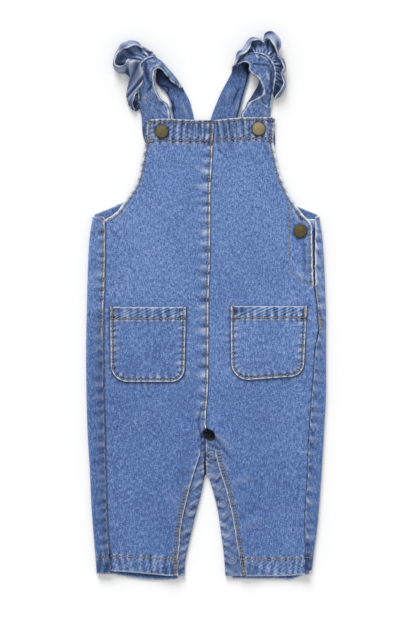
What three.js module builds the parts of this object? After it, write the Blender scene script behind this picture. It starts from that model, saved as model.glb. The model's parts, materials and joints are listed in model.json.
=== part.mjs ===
// Kids denim dungarees laid flat on their back, with bib, frilled straps, patch pockets and snaps.
// Millimetres. +X runs to the wearer's left, +Y from the hems to the straps, +Z up off the surface.
import * as THREE from 'three';

// Driving dimensions
const CLOTH = 1.5;            // denim wall, seam allowances included
const SEAM_GAP = 0.3;         // clearance between pieces that meet
const SIDE_HEIGHT = 5.6;      // thickness over the rolled side edge
const INSEAM_HEIGHT = 3.9;    // thickness over the rolled inner leg edge
const BODY_LIFT = 3.5;        // middle of the front cloth over the surface
const BIB_LIFT = 2.75;        // the same on the bib, which lies on the straps only
const BIB_BAND = 22.5;        // turned-down hem of the bib
const LEG_HEM = 17.5;         // turned-up leg hem
const HEM_RELIEF = 0.6;       // extra thickness of a turned hem
const BIB_TOP = 194;
const HEM_BASE = -281;
const CROTCH = -127;          // foot of the centre front seam
const PLACKET_TOP = -140.5;   // head of the inner leg plackets
const ARMPIT = 90;            // foot of the armholes
const SIDE_SLOPE = 20;        // width over which the front rises to its side seam
const UNDERLAP = { inner: 89, outer: 115, bottom: 22, top: 90 };
const STRAP_COLUMNS = 4;
const SNAP_RADIUS = 7;
const SNAP_HEIGHT = 2.6;

// Outer edge and side seam of each side, as distances out from the centre line at height y.
// lip is where the wrapped-over back cloth ends; on the wearer's left it leaves the side opening.
const SIDE_RIGHT = [
  { y: -286, edge: 113, seam: 99, lip: 99.3 },
  { y: -262, edge: 115, seam: 99.6, lip: 99.9 },
  { y: -240, edge: 116.8, seam: 101.8, lip: 102.1 },
  { y: -205, edge: 119.4, seam: 103.2, lip: 103.5 },
  { y: -172, edge: 120.8, seam: 104, lip: 104.3 },
  { y: -130, edge: 123.3, seam: 105, lip: 105.3 },
  { y: -90, edge: 124.4, seam: 106, lip: 106.3 },
  { y: -45, edge: 124.8, seam: 106.5, lip: 106.8 },
  { y: -5, edge: 124, seam: 106.5, lip: 106.8 },
  { y: 20, edge: 123.5, seam: 105.3, lip: 105.6 },
  { y: 68, edge: 121.5, seam: 104.7, lip: 105 },
  { y: 96, edge: 117, seam: 105.3, lip: 105.6 },
];
const SIDE_LEFT = [
  { y: -286, edge: 108.6, seam: 102.2, lip: 102.5 },
  { y: -264, edge: 111.2, seam: 103.8, lip: 104.1 },
  { y: -250, edge: 113, seam: 103, lip: 103.3 },
  { y: -227, edge: 116, seam: 102.5, lip: 102.8 },
  { y: -205, edge: 117.8, seam: 103.3, lip: 103.6 },
  { y: -181, edge: 119.6, seam: 105, lip: 105.3 },
  { y: -150, edge: 121.6, seam: 106, lip: 106.3 },
  { y: -124, edge: 123, seam: 107.6, lip: 107.9 },
  { y: -88, edge: 124.8, seam: 110, lip: 110.3 },
  { y: -66, edge: 124.8, seam: 112, lip: 112.3 },
  { y: -48, edge: 124.8, seam: 112.7, lip: 113 },
  { y: -36, edge: 124.8, seam: 114.8, lip: 115.6 },
  { y: -24, edge: 124.8, seam: 116.8, lip: 117.8 },
  { y: -10, edge: 124.8, seam: 115.6, lip: 116.6 },
  { y: 4, edge: 124.5, seam: 114.6, lip: 115.6 },
  { y: 16, edge: 124, seam: 113.2, lip: 113.8 },
  { y: 27, edge: 123.5, seam: 111, lip: 113.6 },
  { y: 50, edge: 122.4, seam: 110.6, lip: 113.2 },
  { y: 80, edge: 120, seam: 110, lip: 113.6 },
  { y: 96, edge: 116.8, seam: 109.5, lip: 113.2 },
];

// Front armhole and bib side, as distances out from the centre line at height y
const ARMHOLE_RIGHT = [
  { y: 89.5, out: 105.3 },
  { y: 91.5, out: 101 },
  { y: 94, out: 96.8 },
  { y: 99, out: 91 },
  { y: 109, out: 84.5 },
  { y: 120, out: 76.2 },
  { y: 132, out: 70.6 },
  { y: 153, out: 66.4 },
  { y: 166, out: 63.2 },
  { y: 187, out: 62 },
  { y: 191.5, out: 61.2 },
  { y: 194, out: 59 },
];
const ARMHOLE_LEFT = [
  { y: 83, out: 109.8 },
  { y: 87, out: 108.2 },
  { y: 93, out: 102.2 },
  { y: 101, out: 95.7 },
  { y: 114, out: 87 },
  { y: 126, out: 81.5 },
  { y: 138, out: 76.6 },
  { y: 155, out: 73 },
  { y: 170, out: 69.8 },
  { y: 188, out: 71.2 },
  { y: 191.5, out: 71 },
  { y: 194, out: 69 },
];

// Centre front seam down to the crotch, then the inner leg edge of each front, signed across
const CENTRE_SEAM = [
  { y: CROTCH, x: 0.8 },
  { y: -123, x: -0.5 },
  { y: -112, x: -0.2 },
  { y: -96, x: 1.6 },
  { y: -60, x: 2.4 },
  { y: 0, x: 2.5 },
  { y: 50, x: 4.2 },
  { y: 145, x: 4.6 },
  { y: 196, x: 6 },
];
const INSEAM_RIGHT = [
  { y: -286, x: -28.6 },
  { y: -264, x: -29 },
  { y: -250, x: -27.6 },
  { y: -230, x: -26.4 },
  { y: -213, x: -22.8 },
  { y: -192, x: -17.7 },
  { y: -180, x: -14.7 },
  { y: -167, x: -10.4 },
  { y: -145, x: -4.8 },
  { y: -134.5, x: -5.4 },
  { y: -129.5, x: -3.2 },
];
const INSEAM_LEFT = [
  { y: -286, x: 37.3 },
  { y: -264, x: 35.2 },
  { y: -254, x: 33.2 },
  { y: -233, x: 30 },
  { y: -212, x: 26.4 },
  { y: -200, x: 23.1 },
  { y: -180, x: 17.8 },
  { y: -174, x: 15.2 },
  { y: -161, x: 11.8 },
  { y: -151, x: 9.6 },
  { y: -140, x: 9.4 },
  { y: -136, x: 9.6 },
  { y: -130, x: 7.4 },
];

// Rolled inner leg edges, as distances out from the centre line
const INNER_LEG_RIGHT = [
  { y: -286, out: 22.4 },
  { y: -268, out: 21.8 },
  { y: -256, out: 19.8 },
  { y: -238, out: 15.7 },
  { y: -219, out: 11.2 },
  { y: -200, out: 6.2 },
  { y: -182, out: 2.4 },
  { y: -172, out: 1 },
  { y: -138, out: 0.5 },
];
const INNER_LEG_LEFT = [
  { y: -286, out: 20.5 },
  { y: -256, out: 18.2 },
  { y: -238, out: 15.7 },
  { y: -219, out: 13.3 },
  { y: -200, out: 9.3 },
  { y: -182, out: 4.2 },
  { y: -172, out: 1.6 },
  { y: -138, out: 0.5 },
];

// Heights that a panel's rows pass through, with the number of steps up to the next one
const FRONT_ROWS = [
  { y: HEM_BASE, steps: 2 },
  { y: HEM_BASE + LEG_HEM, steps: 1 },
  { y: HEM_BASE + LEG_HEM + 1.2, steps: 6 },
  { y: -174, steps: 3 },
  { y: -145, steps: 2 },
  { y: -134.5, steps: 1 },
  { y: -130, steps: 1 },
  { y: CROTCH, steps: 1 },
  { y: -123, steps: 5 },
  { y: -48, steps: 2 },
  { y: -24, steps: 2 },
  { y: 4, steps: 4 },
  { y: 78, steps: 1 },
  { y: 83, steps: 1 },
  { y: 87, steps: 1 },
  { y: 89.5, steps: 1 },
  { y: 91.5, steps: 1 },
  { y: 94, steps: 1 },
  { y: 99, steps: 4 },
  { y: 132, steps: 3 },
  { y: BIB_TOP - BIB_BAND - 1.2, steps: 1 },
  { y: BIB_TOP - BIB_BAND, steps: 1 },
  { y: 187, steps: 1 },
  { y: 191.5, steps: 1 },
  { y: BIB_TOP, steps: 0 },
];

// Rise of the bib's top edge and of the front hems over their straight lines, signed across
const BIB_TOP_SHIFT = [
  { x: -60, rise: -1 },
  { x: -45, rise: 0.3 },
  { x: -23, rise: -0.6 },
  { x: 4, rise: -1.4 },
  { x: 37, rise: 1.6 },
  { x: 70, rise: 2 },
];
const HEM_SHIFT = [
  { x: -114, rise: 3 },
  { x: -99, rise: 5.6 },
  { x: -67, rise: 3.4 },
  { x: -41, rise: 1.2 },
  { x: -22, rise: 0.4 },
  { x: 20, rise: 0.8 },
  { x: 68, rise: 0.3 },
  { x: 101, rise: 2 },
  { x: 111, rise: 5.8 },
];
const BACK_HEM_DROP = 3.2;    // the back hem shows this far below the front one
const LEG_INNER = 20;         // distance of the inner leg edges from the centre line at the hems

// Top edge of the back under the bib, by distance out from the centre line
const BACK_TOP = [
  { out: 0, y: 162 },
  { out: 26, y: 162 },
  { out: 32, y: 152 },
  { out: 48, y: 132 },
  { out: 68, y: 116 },
  { out: 92, y: 104 },
  { out: 103, y: 99.5 },
  { out: 115, y: 94.5 },
];
const BACK_COLUMNS = [0, 0.12, 0.23, 0.29, 0.42, 0.6, 0.8, 1];
const BACK_PEAK = 162;
const BACK_WIDEST = 114;      // half width of the back where its side edges end
const LIP_TOP = 92;           // top of the wrapped-over strip at the sides
const BACK_ROWS = [
  { y: HEM_BASE, steps: 8 },
  { y: PLACKET_TOP + 1, steps: 1 },
  { y: PLACKET_TOP + 2.2, steps: 17 },
  { y: BACK_PEAK, steps: 0 },
];
const ROLL_STEPS = 5;

// Patch pockets, as they lie: top and bottom lines, both sides, corner radius
const POCKET_BAND = 12;
const POCKETS = {
  right: { inner: 21, outer: 99.3, top: -1.5, bottom: -78.5, corner: 13, sway: 1.2 },
  left: { inner: 25.8, outer: 104.4, top: -0.6, bottom: -76.5, corner: 12, sway: -1 },
};

// Centres of the three snaps that show
const SNAPS = [
  { name: 'snap_cap_bib_right', x: -46, y: 181 },
  { name: 'snap_cap_bib_left', x: 54.6, y: 183.6 },
  { name: 'snap_cap_side_left', x: 97.7, y: 77.5 },
];

// Each strap from its end behind the bib, up, over the shoulder and down to the back.
// ox, oy, oz is the outer edge that carries the frill, nx, ny, nz the neck edge, mirrored by side.
const STRAP_RIGHT = [
  { ox: 66.4, oy: 167, oz: 0.8, nx: 39.6, ny: 167, nz: 0.8 },
  { ox: 66.6, oy: 181, oz: 0.8, nx: 39.4, ny: 181, nz: 0.8 },
  { ox: 67.2, oy: 196.5, oz: 0.9, nx: 38.6, ny: 197, nz: 0.9 },
  { ox: 69.6, oy: 207.5, oz: 2.6, nx: 41, ny: 207.5, nz: 2.4 },
  { ox: 70.7, oy: 219.4, oz: 5, nx: 46.8, ny: 218.9, nz: 4.6 },
  { ox: 71, oy: 232.4, oz: 7.6, nx: 54, ny: 230.4, nz: 7 },
  { ox: 69.8, oy: 243.4, oz: 9.6, nx: 54.2, ny: 238.6, nz: 8.4 },
  { ox: 66.4, oy: 252.2, oz: 10.8, nx: 51.8, ny: 244, nz: 8.8 },
  { ox: 60.4, oy: 257.2, oz: 10.8, nx: 47.4, ny: 244.6, nz: 8.8 },
  { ox: 54.4, oy: 258.2, oz: 9.6, nx: 41.8, ny: 240.4, nz: 8.4 },
  { ox: 50, oy: 256.6, oz: 7.4, nx: 34.4, ny: 233.4, nz: 7.4 },
  { ox: 48.6, oy: 253.4, oz: 4.6, nx: 27, ny: 226.6, nz: 5.6 },
  { ox: 49.4, oy: 248.6, oz: 2, nx: 22.6, ny: 221, nz: 3 },
  { ox: 49.4, oy: 240, oz: 0.8, nx: 20.8, ny: 215.4, nz: 1.2 },
  { ox: 46.6, oy: 226.2, oz: 0.8, nx: 17.7, ny: 207.5, nz: 0.8 },
  { ox: 41.2, oy: 211, oz: 0.8, nx: 15.2, ny: 200.2, nz: 0.8 },
  { ox: 35.8, oy: 195.5, oz: 0.8, nx: 13, ny: 192, nz: 0.8 },
  { ox: 30.2, oy: 179.4, oz: 0.8, nx: 8.3, ny: 179.4, nz: 0.8 },
  { ox: 25.6, oy: 162.6, oz: 0.8, nx: 2.1, ny: 162.6, nz: 0.8 },
];
const STRAP_LEFT = [
  { ox: 72, oy: 167, oz: 0.8, nx: 43.5, ny: 167, nz: 0.8 },
  { ox: 71.8, oy: 180, oz: 0.8, nx: 42.5, ny: 180, nz: 0.8 },
  { ox: 66.8, oy: 198.5, oz: 0.9, nx: 38.4, ny: 198.5, nz: 0.9 },
  { ox: 67.6, oy: 206.4, oz: 2.2, nx: 43, ny: 208.4, nz: 2.4 },
  { ox: 69, oy: 214.8, oz: 4.2, nx: 52.4, ny: 214.4, nz: 4.6 },
  { ox: 69.9, oy: 224.1, oz: 6.6, nx: 59.6, ny: 220.4, nz: 7 },
  { ox: 71.2, oy: 234, oz: 8.8, nx: 59.6, ny: 227.8, nz: 8.6 },
  { ox: 71.8, oy: 243, oz: 10.2, nx: 55.4, ny: 234.5, nz: 8.8 },
  { ox: 69.4, oy: 251.2, oz: 11, nx: 50.4, ny: 239.6, nz: 9 },
  { ox: 64.6, oy: 257.6, oz: 11.2, nx: 46.6, ny: 243.6, nz: 9 },
  { ox: 58.4, oy: 261, oz: 10.8, nx: 43.8, ny: 248.6, nz: 8.8 },
  { ox: 52, oy: 261.8, oz: 9, nx: 38.6, ny: 251.2, nz: 8 },
  { ox: 46.6, oy: 260, oz: 6, nx: 32, ny: 250, nz: 5.8 },
  { ox: 44.6, oy: 254.6, oz: 2.6, nx: 28.2, ny: 245.6, nz: 3 },
  { ox: 45, oy: 245, oz: 0.8, nx: 25.8, ny: 239.4, nz: 1.1 },
  { ox: 43.7, oy: 232.4, oz: 0.8, nx: 20.8, ny: 230, nz: 0.8 },
  { ox: 40.6, oy: 218, oz: 0.8, nx: 14, ny: 216, nz: 0.8 },
  { ox: 35.6, oy: 200.2, oz: 0.8, nx: 8.4, ny: 200.2, nz: 0.8 },
  { ox: 30.4, oy: 181.5, oz: 0.8, nx: 4, ny: 181.5, nz: 0.8 },
  { ox: 24.4, oy: 162.6, oz: 0.8, nx: 1.7, ny: 162.6, nz: 0.8 },
];

// Free edge of each frill at a place along its strap, counted in the strap's rows, mirrored by side
const FRILL_COLUMNS = 4;
const FRILL_RIGHT = [
  { at: 3, fx: 72, fy: 205, fz: 2.2 },
  { at: 3.6, fx: 78.5, fy: 209, fz: 2.4 },
  { at: 4.2, fx: 81, fy: 220, fz: 3 },
  { at: 4.8, fx: 79, fy: 231, fz: 4 },
  { at: 5.3, fx: 84, fy: 239, fz: 4.6 },
  { at: 5.7, fx: 92, fy: 243, fz: 5 },
  { at: 6.1, fx: 95, fy: 253, fz: 5.8 },
  { at: 6.6, fx: 92, fy: 262, fz: 6.6 },
  { at: 7.1, fx: 87.6, fy: 270, fz: 7.4 },
  { at: 7.6, fx: 79.6, fy: 274.4, fz: 8.2 },
  { at: 8.1, fx: 71.4, fy: 273.2, fz: 8.4 },
  { at: 8.6, fx: 65, fy: 268, fz: 8.2 },
  { at: 9.2, fx: 58.4, fy: 265, fz: 7.6 },
  { at: 9.8, fx: 53, fy: 261.4, fz: 7 },
];
const FRILL_LEFT = [
  { at: 3, fx: 69.5, fy: 209, fz: 2.6 },
  { at: 3.8, fx: 74, fy: 213.8, fz: 2.8 },
  { at: 4.6, fx: 79.6, fy: 220, fz: 3.4 },
  { at: 5.4, fx: 82.8, fy: 230, fz: 4.4 },
  { at: 6.2, fx: 81, fy: 239.6, fz: 5.6 },
  { at: 6.9, fx: 83.4, fy: 247.4, fz: 6.4 },
  { at: 7.5, fx: 79, fy: 257, fz: 7.4 },
  { at: 8, fx: 76.4, fy: 265, fz: 8.2 },
  { at: 8.5, fx: 76, fy: 273.6, fz: 8.8 },
  { at: 9, fx: 69.4, fy: 286.4, fz: 9.4 },
  { at: 9.6, fx: 60.4, fy: 277.6, fz: 9.2 },
  { at: 10.1, fx: 51.6, fy: 276.6, fz: 8.8 },
  { at: 10.5, fx: 43.4, fy: 272.4, fz: 8.2 },
  { at: 10.8, fx: 37, fy: 266.4, fz: 7.8 },
  { at: 11, fx: 34, fy: 260.5, fz: 7.6 },
];
const FRILL_WAVES = 6;
const FRILL_WAVE_RISE = 2.4;
const FRILL_WAVE_REACH = 2;
const FRILL_GATHERS = 14;     // small gathers at the seam, which die out towards the free edge
const FRILL_GATHER_RISE = 0.55;

const DENIM = { color: 0x607fb0, roughness: 0.85, metalness: 0 };
const BRASS = { color: 0x8a7440, roughness: 0.38, metalness: 1 };

const garment = new THREE.Group();

// A named mesh with its own material
function addPiece(name, geometry, finish) {
  geometry.computeVertexNormals();
  const mesh = new THREE.Mesh(geometry, new THREE.MeshStandardMaterial(finish));
  mesh.name = name;
  garment.add(mesh);
}

// Value of one column of a table at a place along its key, on a smooth line through its rows
function along(rows, key, place, column) {
  const last = rows.length - 1;
  if (place <= rows[0][key]) return rows[0][column];
  if (place >= rows[last][key]) return rows[last][column];
  let i = 0;
  while (rows[i + 1][key] < place) i += 1;
  const slope = (a, b) => (rows[b][column] - rows[a][column]) / (rows[b][key] - rows[a][key]);
  const here = slope(i, i + 1);
  const before = i > 0 ? slope(i - 1, i) : here;
  const after = i + 1 < last ? slope(i + 1, i + 2) : here;
  const span = rows[i + 1][key] - rows[i][key];
  const t = (place - rows[i][key]) / span;
  const start = before * here > 0 ? 2 * before * here / (before + here) : 0;
  const end = after * here > 0 ? 2 * after * here / (after + here) : 0;
  return (2 * t ** 3 - 3 * t ** 2 + 1) * rows[i][column] + (t ** 3 - 2 * t ** 2 + t) * span * start
    + (3 * t ** 2 - 2 * t ** 3) * rows[i + 1][column] + (t ** 3 - t ** 2) * span * end;
}

function smooth(from, to, value) {
  return THREE.MathUtils.smoothstep(value, from, to);
}

function lerp(a, b, t) {
  return a + (b - a) * t;
}

// Heights of a panel's rows, from a table of heights and steps
function ladder(stops) {
  const heights = [];
  stops.forEach((stop, i) => {
    for (let k = 0; k < stop.steps; k += 1) heights.push(lerp(stop.y, stops[i + 1].y, k / stop.steps));
  });
  heights.push(stops[stops.length - 1].y);
  return heights;
}

// A closed cloth solid from its middle points: half a wall to each side and a relief on the right side.
// face is 1 where the columns run to +X and -1 where they run to -X.
function clothSolid(middle, { relief = () => 0, face = 1, floor = false } = {}) {
  const rows = middle.length;
  const columns = middle[0].length;
  const points = [];
  const outer = [];
  const inner = [];
  for (let j = 0; j < rows; j += 1) {
    for (let i = 0; i < columns; i += 1) {
      const up = middle[Math.min(j + 1, rows - 1)][i].clone().sub(middle[Math.max(j - 1, 0)][i]);
      const across = middle[j][Math.min(i + 1, columns - 1)].clone().sub(middle[j][Math.max(i - 1, 0)]);
      const out = across.cross(up).normalize().multiplyScalar(face);
      outer.push(middle[j][i].clone().addScaledVector(out, CLOTH / 2 + relief(i, j)));
      inner.push(middle[j][i].clone().addScaledVector(out, -CLOTH / 2));
    }
  }
  points.push(...outer, ...inner);
  if (floor) points.forEach((p) => { p.z = Math.max(p.z, 0); });
  const half = rows * columns;
  const faces = [];
  const quad = (a, b, c, d) => faces.push(a, b, c, a, c, d);
  for (let j = 0; j + 1 < rows; j += 1) {
    for (let i = 0; i + 1 < columns; i += 1) {
      const a = j * columns + i;
      quad(a, a + 1, a + columns + 1, a + columns);
      quad(half + a, half + a + columns, half + a + columns + 1, half + a + 1);
    }
  }
  const rim = [];
  for (let i = 0; i < columns; i += 1) rim.push(i);
  for (let j = 1; j < rows; j += 1) rim.push(j * columns + columns - 1);
  for (let i = columns - 2; i >= 0; i -= 1) rim.push((rows - 1) * columns + i);
  for (let j = rows - 2; j > 0; j -= 1) rim.push(j * columns);
  rim.forEach((a, k) => {
    const b = rim[(k + 1) % rim.length];
    quad(a, half + a, half + b, b);
  });
  const geometry = new THREE.BufferGeometry().setFromPoints(points);
  geometry.setIndex(facingOut(points, faces));
  return geometry;
}

// The faces of a closed solid, turned over when they enclose a negative volume
function facingOut(points, faces) {
  let volume = 0;
  const cross = new THREE.Vector3();
  for (let k = 0; k < faces.length; k += 3) {
    cross.crossVectors(points[faces[k + 1]], points[faces[k + 2]]);
    volume += points[faces[k]].dot(cross);
  }
  return volume > 0 ? faces : faces.slice().reverse();
}

// Low ripples of the loose cloth between the seams
function ripple(x, y) {
  const across = 0.22 * Math.sin(x / 17 + 0.8) * Math.sin(y / 23);
  const slanting = 0.14 * Math.sin((x - y) / 31);
  return across + slanting;
}

// Height of the middle of the front cloth: it rides up over the rolled edges and the side underlap
function frontHeight(x, y) {
  const side = x < 0 ? SIDE_RIGHT : SIDE_LEFT;
  const innerLeg = x < 0 ? INNER_LEG_RIGHT : INNER_LEG_LEFT;
  const out = Math.abs(x);
  const onBib = smooth(ARMPIT + 10, ARMPIT + 70, y);
  const body = lerp(BODY_LIFT, BIB_LIFT, onBib);
  const seam = along(side, 'y', y, 'seam');
  const bySeam = smooth(seam - SIDE_SLOPE, seam - 2, out) * (1 - smooth(ARMPIT, ARMPIT + 35, y));
  const { inner, bottom, top } = UNDERLAP;
  const overlap = x > 0 ? smooth(inner - 7, inner - 1, out) : 0;
  const byOpening = overlap * smooth(bottom - 18, bottom - 2, y) * (1 - smooth(top + 6, top + 30, y));
  const atSide = Math.max(bySeam, byOpening);
  const leg = along(innerLeg, 'y', y, 'out');
  const atLeg = (1 - smooth(leg + 24, leg + 36, out)) * (1 - smooth(CROTCH - 5, CROTCH + 15, y));
  const overSide = lerp(body, SIDE_HEIGHT - CLOTH / 2, atSide);
  const overLeg = lerp(body, INSEAM_HEIGHT + SEAM_GAP + CLOTH / 2 + 0.1, atLeg);
  const loose = (1 - atSide) * (1 - atLeg) * (1 - onBib);
  return Math.max(overSide, overLeg) + ripple(x, y) * loose;
}

// One front: bib half, side and leg in one piece
function frontPanel(sign) {
  const side = sign < 0 ? SIDE_RIGHT : SIDE_LEFT;
  const armhole = sign < 0 ? ARMHOLE_RIGHT : ARMHOLE_LEFT;
  const inseam = sign < 0 ? INSEAM_RIGHT : INSEAM_LEFT;
  const heights = ladder(FRONT_ROWS);
  const shares = [0, 0.04, 0.16, 0.34, 0.54, 0.74, 0.88, 0.96, 1];
  const middle = heights.map((y) => {
    const seamed = y >= CROTCH;
    const inner = seamed ? along(CENTRE_SEAM, 'y', y, 'x') : along(inseam, 'y', y, 'x');
    const out = y > armhole[0].y ? along(armhole, 'y', y, 'out') : along(side, 'y', y, 'seam');
    const from = seamed ? inner + sign * SEAM_GAP / 2 : inner;
    return shares.map((share) => {
      const x = lerp(from, sign * out, share);
      const top = along(BIB_TOP_SHIFT, 'x', x, 'rise') * smooth(160, BIB_TOP, y);
      const hem = along(HEM_SHIFT, 'x', x, 'rise') * (1 - smooth(HEM_BASE, HEM_BASE + 45, y));
      return new THREE.Vector3(x, y + top + hem, frontHeight(x, y));
    });
  });
  const relief = (i, j) => {
    const y = heights[j];
    const hemmed = y <= HEM_BASE + LEG_HEM || y >= BIB_TOP - BIB_BAND;
    return hemmed ? HEM_RELIEF : 0;
  };
  return clothSolid(middle, { relief, face: sign });
}

// One back: flat on the surface, rolled up at the side and wrapped over to the side seam
function backPanel(sign) {
  const side = sign < 0 ? SIDE_RIGHT : SIDE_LEFT;
  const innerLeg = sign < 0 ? INNER_LEG_RIGHT : INNER_LEG_LEFT;
  const reach = SIDE_HEIGHT / 2;
  const radius = (SIDE_HEIGHT - CLOTH) / 2;
  const base = CLOTH / 2;
  const columns = BACK_COLUMNS.map((share) => ({ share, turn: 0, lip: 0 }));
  for (let k = 1; k <= ROLL_STEPS; k += 1) columns.push({ share: 1, turn: Math.PI * k / ROLL_STEPS, lip: 0 });
  [0.5, 1].forEach((lip) => columns.push({ share: 1, turn: Math.PI, lip }));
  const middle = [];
  ladder(BACK_ROWS).forEach((height) => {
    const climb = (height - HEM_BASE) / (BACK_PEAK - HEM_BASE);
    middle.push(columns.map(({ share, turn, lip }) => {
      const onFlat = turn === 0;
      const top = onFlat ? along(BACK_TOP, 'out', share * BACK_WIDEST, 'y') : LIP_TOP;
      const hemX = sign * lerp(LEG_INNER, BACK_WIDEST, share);
      const rise = along(HEM_SHIFT, 'x', hemX, 'rise') - (onFlat ? BACK_HEM_DROP * (1 - share ** 6) : 0);
      const y = lerp(HEM_BASE, top, climb) + rise * (1 - smooth(0, 0.15, climb));
      const edge = along(side, 'y', y, 'edge') - reach;
      const legged = 1 - smooth(PLACKET_TOP + 1, PLACKET_TOP + 2.2, y);
      const inner = lerp(SEAM_GAP / 2, along(innerLeg, 'y', y, 'out') + 7.5, legged);
      const lipX = lerp(edge, along(side, 'y', y, 'lip'), lip);
      const flatX = lerp(inner, edge, share);
      const x = lip > 0 ? lipX : flatX + radius * Math.sin(turn);
      const z = base + radius * (1 - Math.cos(turn));
      return new THREE.Vector3(sign * x, y, z);
    }));
  });
  return clothSolid(middle, { floor: true });
}

// One inner leg placket: it rolls round the inner leg edge and lies under the front's edge
function placket(sign) {
  const innerLeg = sign < 0 ? INNER_LEG_RIGHT : INNER_LEG_LEFT;
  const inseam = sign < 0 ? INSEAM_RIGHT : INSEAM_LEFT;
  const radius = (INSEAM_HEIGHT - CLOTH) / 2;
  const base = CLOTH / 2;
  const steps = 18;
  const turns = 4;
  const middle = [];
  for (let j = 0; j <= steps; j += 1) {
    const y = lerp(HEM_BASE + 0.6, PLACKET_TOP, j / steps);
    const edge = along(innerLeg, 'y', y, 'out');
    const centre = edge + INSEAM_HEIGHT / 2;
    const foot = edge + 7.2;
    const lip = Math.max(Math.abs(along(inseam, 'y', y, 'x')) + 7, edge + 12);
    const row = [new THREE.Vector3(sign * foot, y, base)];
    for (let k = 0; k <= turns; k += 1) {
      const turn = Math.PI * k / turns;
      const x = centre - radius * Math.sin(turn);
      row.push(new THREE.Vector3(sign * x, y, base + radius * (1 - Math.cos(turn))));
    }
    [0.5, 1].forEach((t) => row.push(new THREE.Vector3(sign * lerp(centre, lip, t), y, base + 2 * radius)));
    middle.push(row);
  }
  return clothSolid(middle, { floor: true });
}

// The underlap that the side snap closes on, between back and front at the wearer's left
function sideUnderlap() {
  const { inner, outer, bottom, top } = UNDERLAP;
  const middle = [];
  for (let j = 0; j <= 5; j += 1) {
    const y = lerp(bottom, top, j / 5);
    const row = [];
    for (let i = 0; i <= 3; i += 1) {
      row.push(new THREE.Vector3(lerp(inner, outer, i / 3), y, CLOTH * 1.5 + SEAM_GAP));
    }
    middle.push(row);
  }
  return clothSolid(middle);
}

// A patch pocket made from the front's own points, moved out
function pocket(sign, { inner, outer, top, bottom, corner, sway }) {
  const stops = [
    { y: bottom, steps: 4 },
    { y: bottom + corner, steps: 4 },
    { y: top - POCKET_BAND - 1, steps: 1 },
    { y: top - POCKET_BAND, steps: 2 },
    { y: top, steps: 0 },
  ];
  const heights = ladder(stops);
  const columns = 9;
  const middle = heights.map((y) => {
    const depth = Math.max(0, corner - (y - bottom));
    const round = corner - Math.sqrt(Math.max(0, corner ** 2 - (depth * 0.97) ** 2));
    const lean = sway * (y - top) / (bottom - top);
    const row = [];
    for (let i = 0; i <= columns; i += 1) {
      const out = lerp(inner + round + lean, outer - round + lean, i / columns);
      const belly = 0.5 * Math.sin(Math.PI * i / columns) * smooth(bottom, bottom + 25, y);
      const x = sign * out;
      row.push(new THREE.Vector3(x, y, frontHeight(x, y) + CLOTH + SEAM_GAP + 0.12 + belly));
    }
    return row;
  });
  const relief = (i, j) => (heights[j] >= top - POCKET_BAND ? HEM_RELIEF : 0);
  return clothSolid(middle, { relief, face: sign });
}

// A point on a strap: row counts its table's rows, share runs from the outer edge to the neck edge
function strapPoint(table, sign, row, share) {
  const rows = table.map((entry, place) => ({ place, ...entry }));
  const at = (column) => along(rows, 'place', row, column);
  return new THREE.Vector3(
    sign * lerp(at('ox'), at('nx'), share),
    lerp(at('oy'), at('ny'), share),
    lerp(at('oz'), at('nz'), share),
  );
}

function strap(table, sign) {
  const middle = [];
  const steps = (table.length - 1) * 2;
  for (let j = 0; j <= steps; j += 1) {
    const row = [];
    for (let i = 0; i <= STRAP_COLUMNS; i += 1) row.push(strapPoint(table, sign, j / 2, i / STRAP_COLUMNS));
    middle.push(row);
  }
  return clothSolid(middle, { floor: true });
}

// A gathered frill along a strap's outer edge, waved more towards its free edge
function frill(strapTable, table, sign) {
  const middle = [];
  const steps = FRILL_GATHERS * 4;
  const first = table[0].at;
  const last = table[table.length - 1].at;
  for (let j = 0; j <= steps; j += 1) {
    const place = lerp(first, last, j / steps);
    const seam = strapPoint(strapTable, sign, place, 0);
    const ahead = strapPoint(strapTable, sign, place + 0.05, 0).sub(strapPoint(strapTable, sign, place - 0.05, 0));
    const away = new THREE.Vector3(-sign * -ahead.y, -sign * ahead.x, 0).normalize();
    const free = new THREE.Vector3(
      sign * along(table, 'at', place, 'fx'),
      along(table, 'at', place, 'fy'),
      along(table, 'at', place, 'fz'),
    );
    const wave = Math.sin(2 * Math.PI * FRILL_WAVES * j / steps);
    const side = Math.cos(2 * Math.PI * FRILL_WAVES * j / steps);
    const gather = FRILL_GATHER_RISE * Math.sin(2 * Math.PI * FRILL_GATHERS * j / steps + Math.PI / 4);
    const start = seam.clone().addScaledVector(away, SEAM_GAP + CLOTH / 2);
    const row = [];
    for (let i = 0; i <= FRILL_COLUMNS; i += 1) {
      const share = i / FRILL_COLUMNS;
      const point = start.clone().lerp(free, share);
      const reach = Math.min(1, start.distanceTo(free) / 14) * share;
      point.z += FRILL_WAVE_RISE * wave * reach + gather * (1 - share);
      point.addScaledVector(free.clone().sub(start).normalize(), FRILL_WAVE_REACH * side * reach);
      row.push(point);
    }
    middle.push(row);
  }
  return clothSolid(middle, { floor: true });
}

// A domed snap cap, flat underneath, just over the cloth
function snapCap({ name, x, y }) {
  const profile = [
    new THREE.Vector2(0, 0),
    new THREE.Vector2(SNAP_RADIUS - 0.6, 0),
    new THREE.Vector2(SNAP_RADIUS, 0.6),
    new THREE.Vector2(SNAP_RADIUS - 0.5, 1.4),
    new THREE.Vector2(SNAP_RADIUS - 2, SNAP_HEIGHT - 0.5),
    new THREE.Vector2(0, SNAP_HEIGHT),
  ];
  const geometry = new THREE.LatheGeometry(profile, 20);
  geometry.rotateX(Math.PI / 2);
  const relief = y > BIB_TOP - BIB_BAND ? HEM_RELIEF : 0;
  geometry.translate(x, y, frontHeight(x, y) + CLOTH / 2 + relief + SEAM_GAP);
  addPiece(name, geometry, BRASS);
}

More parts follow.
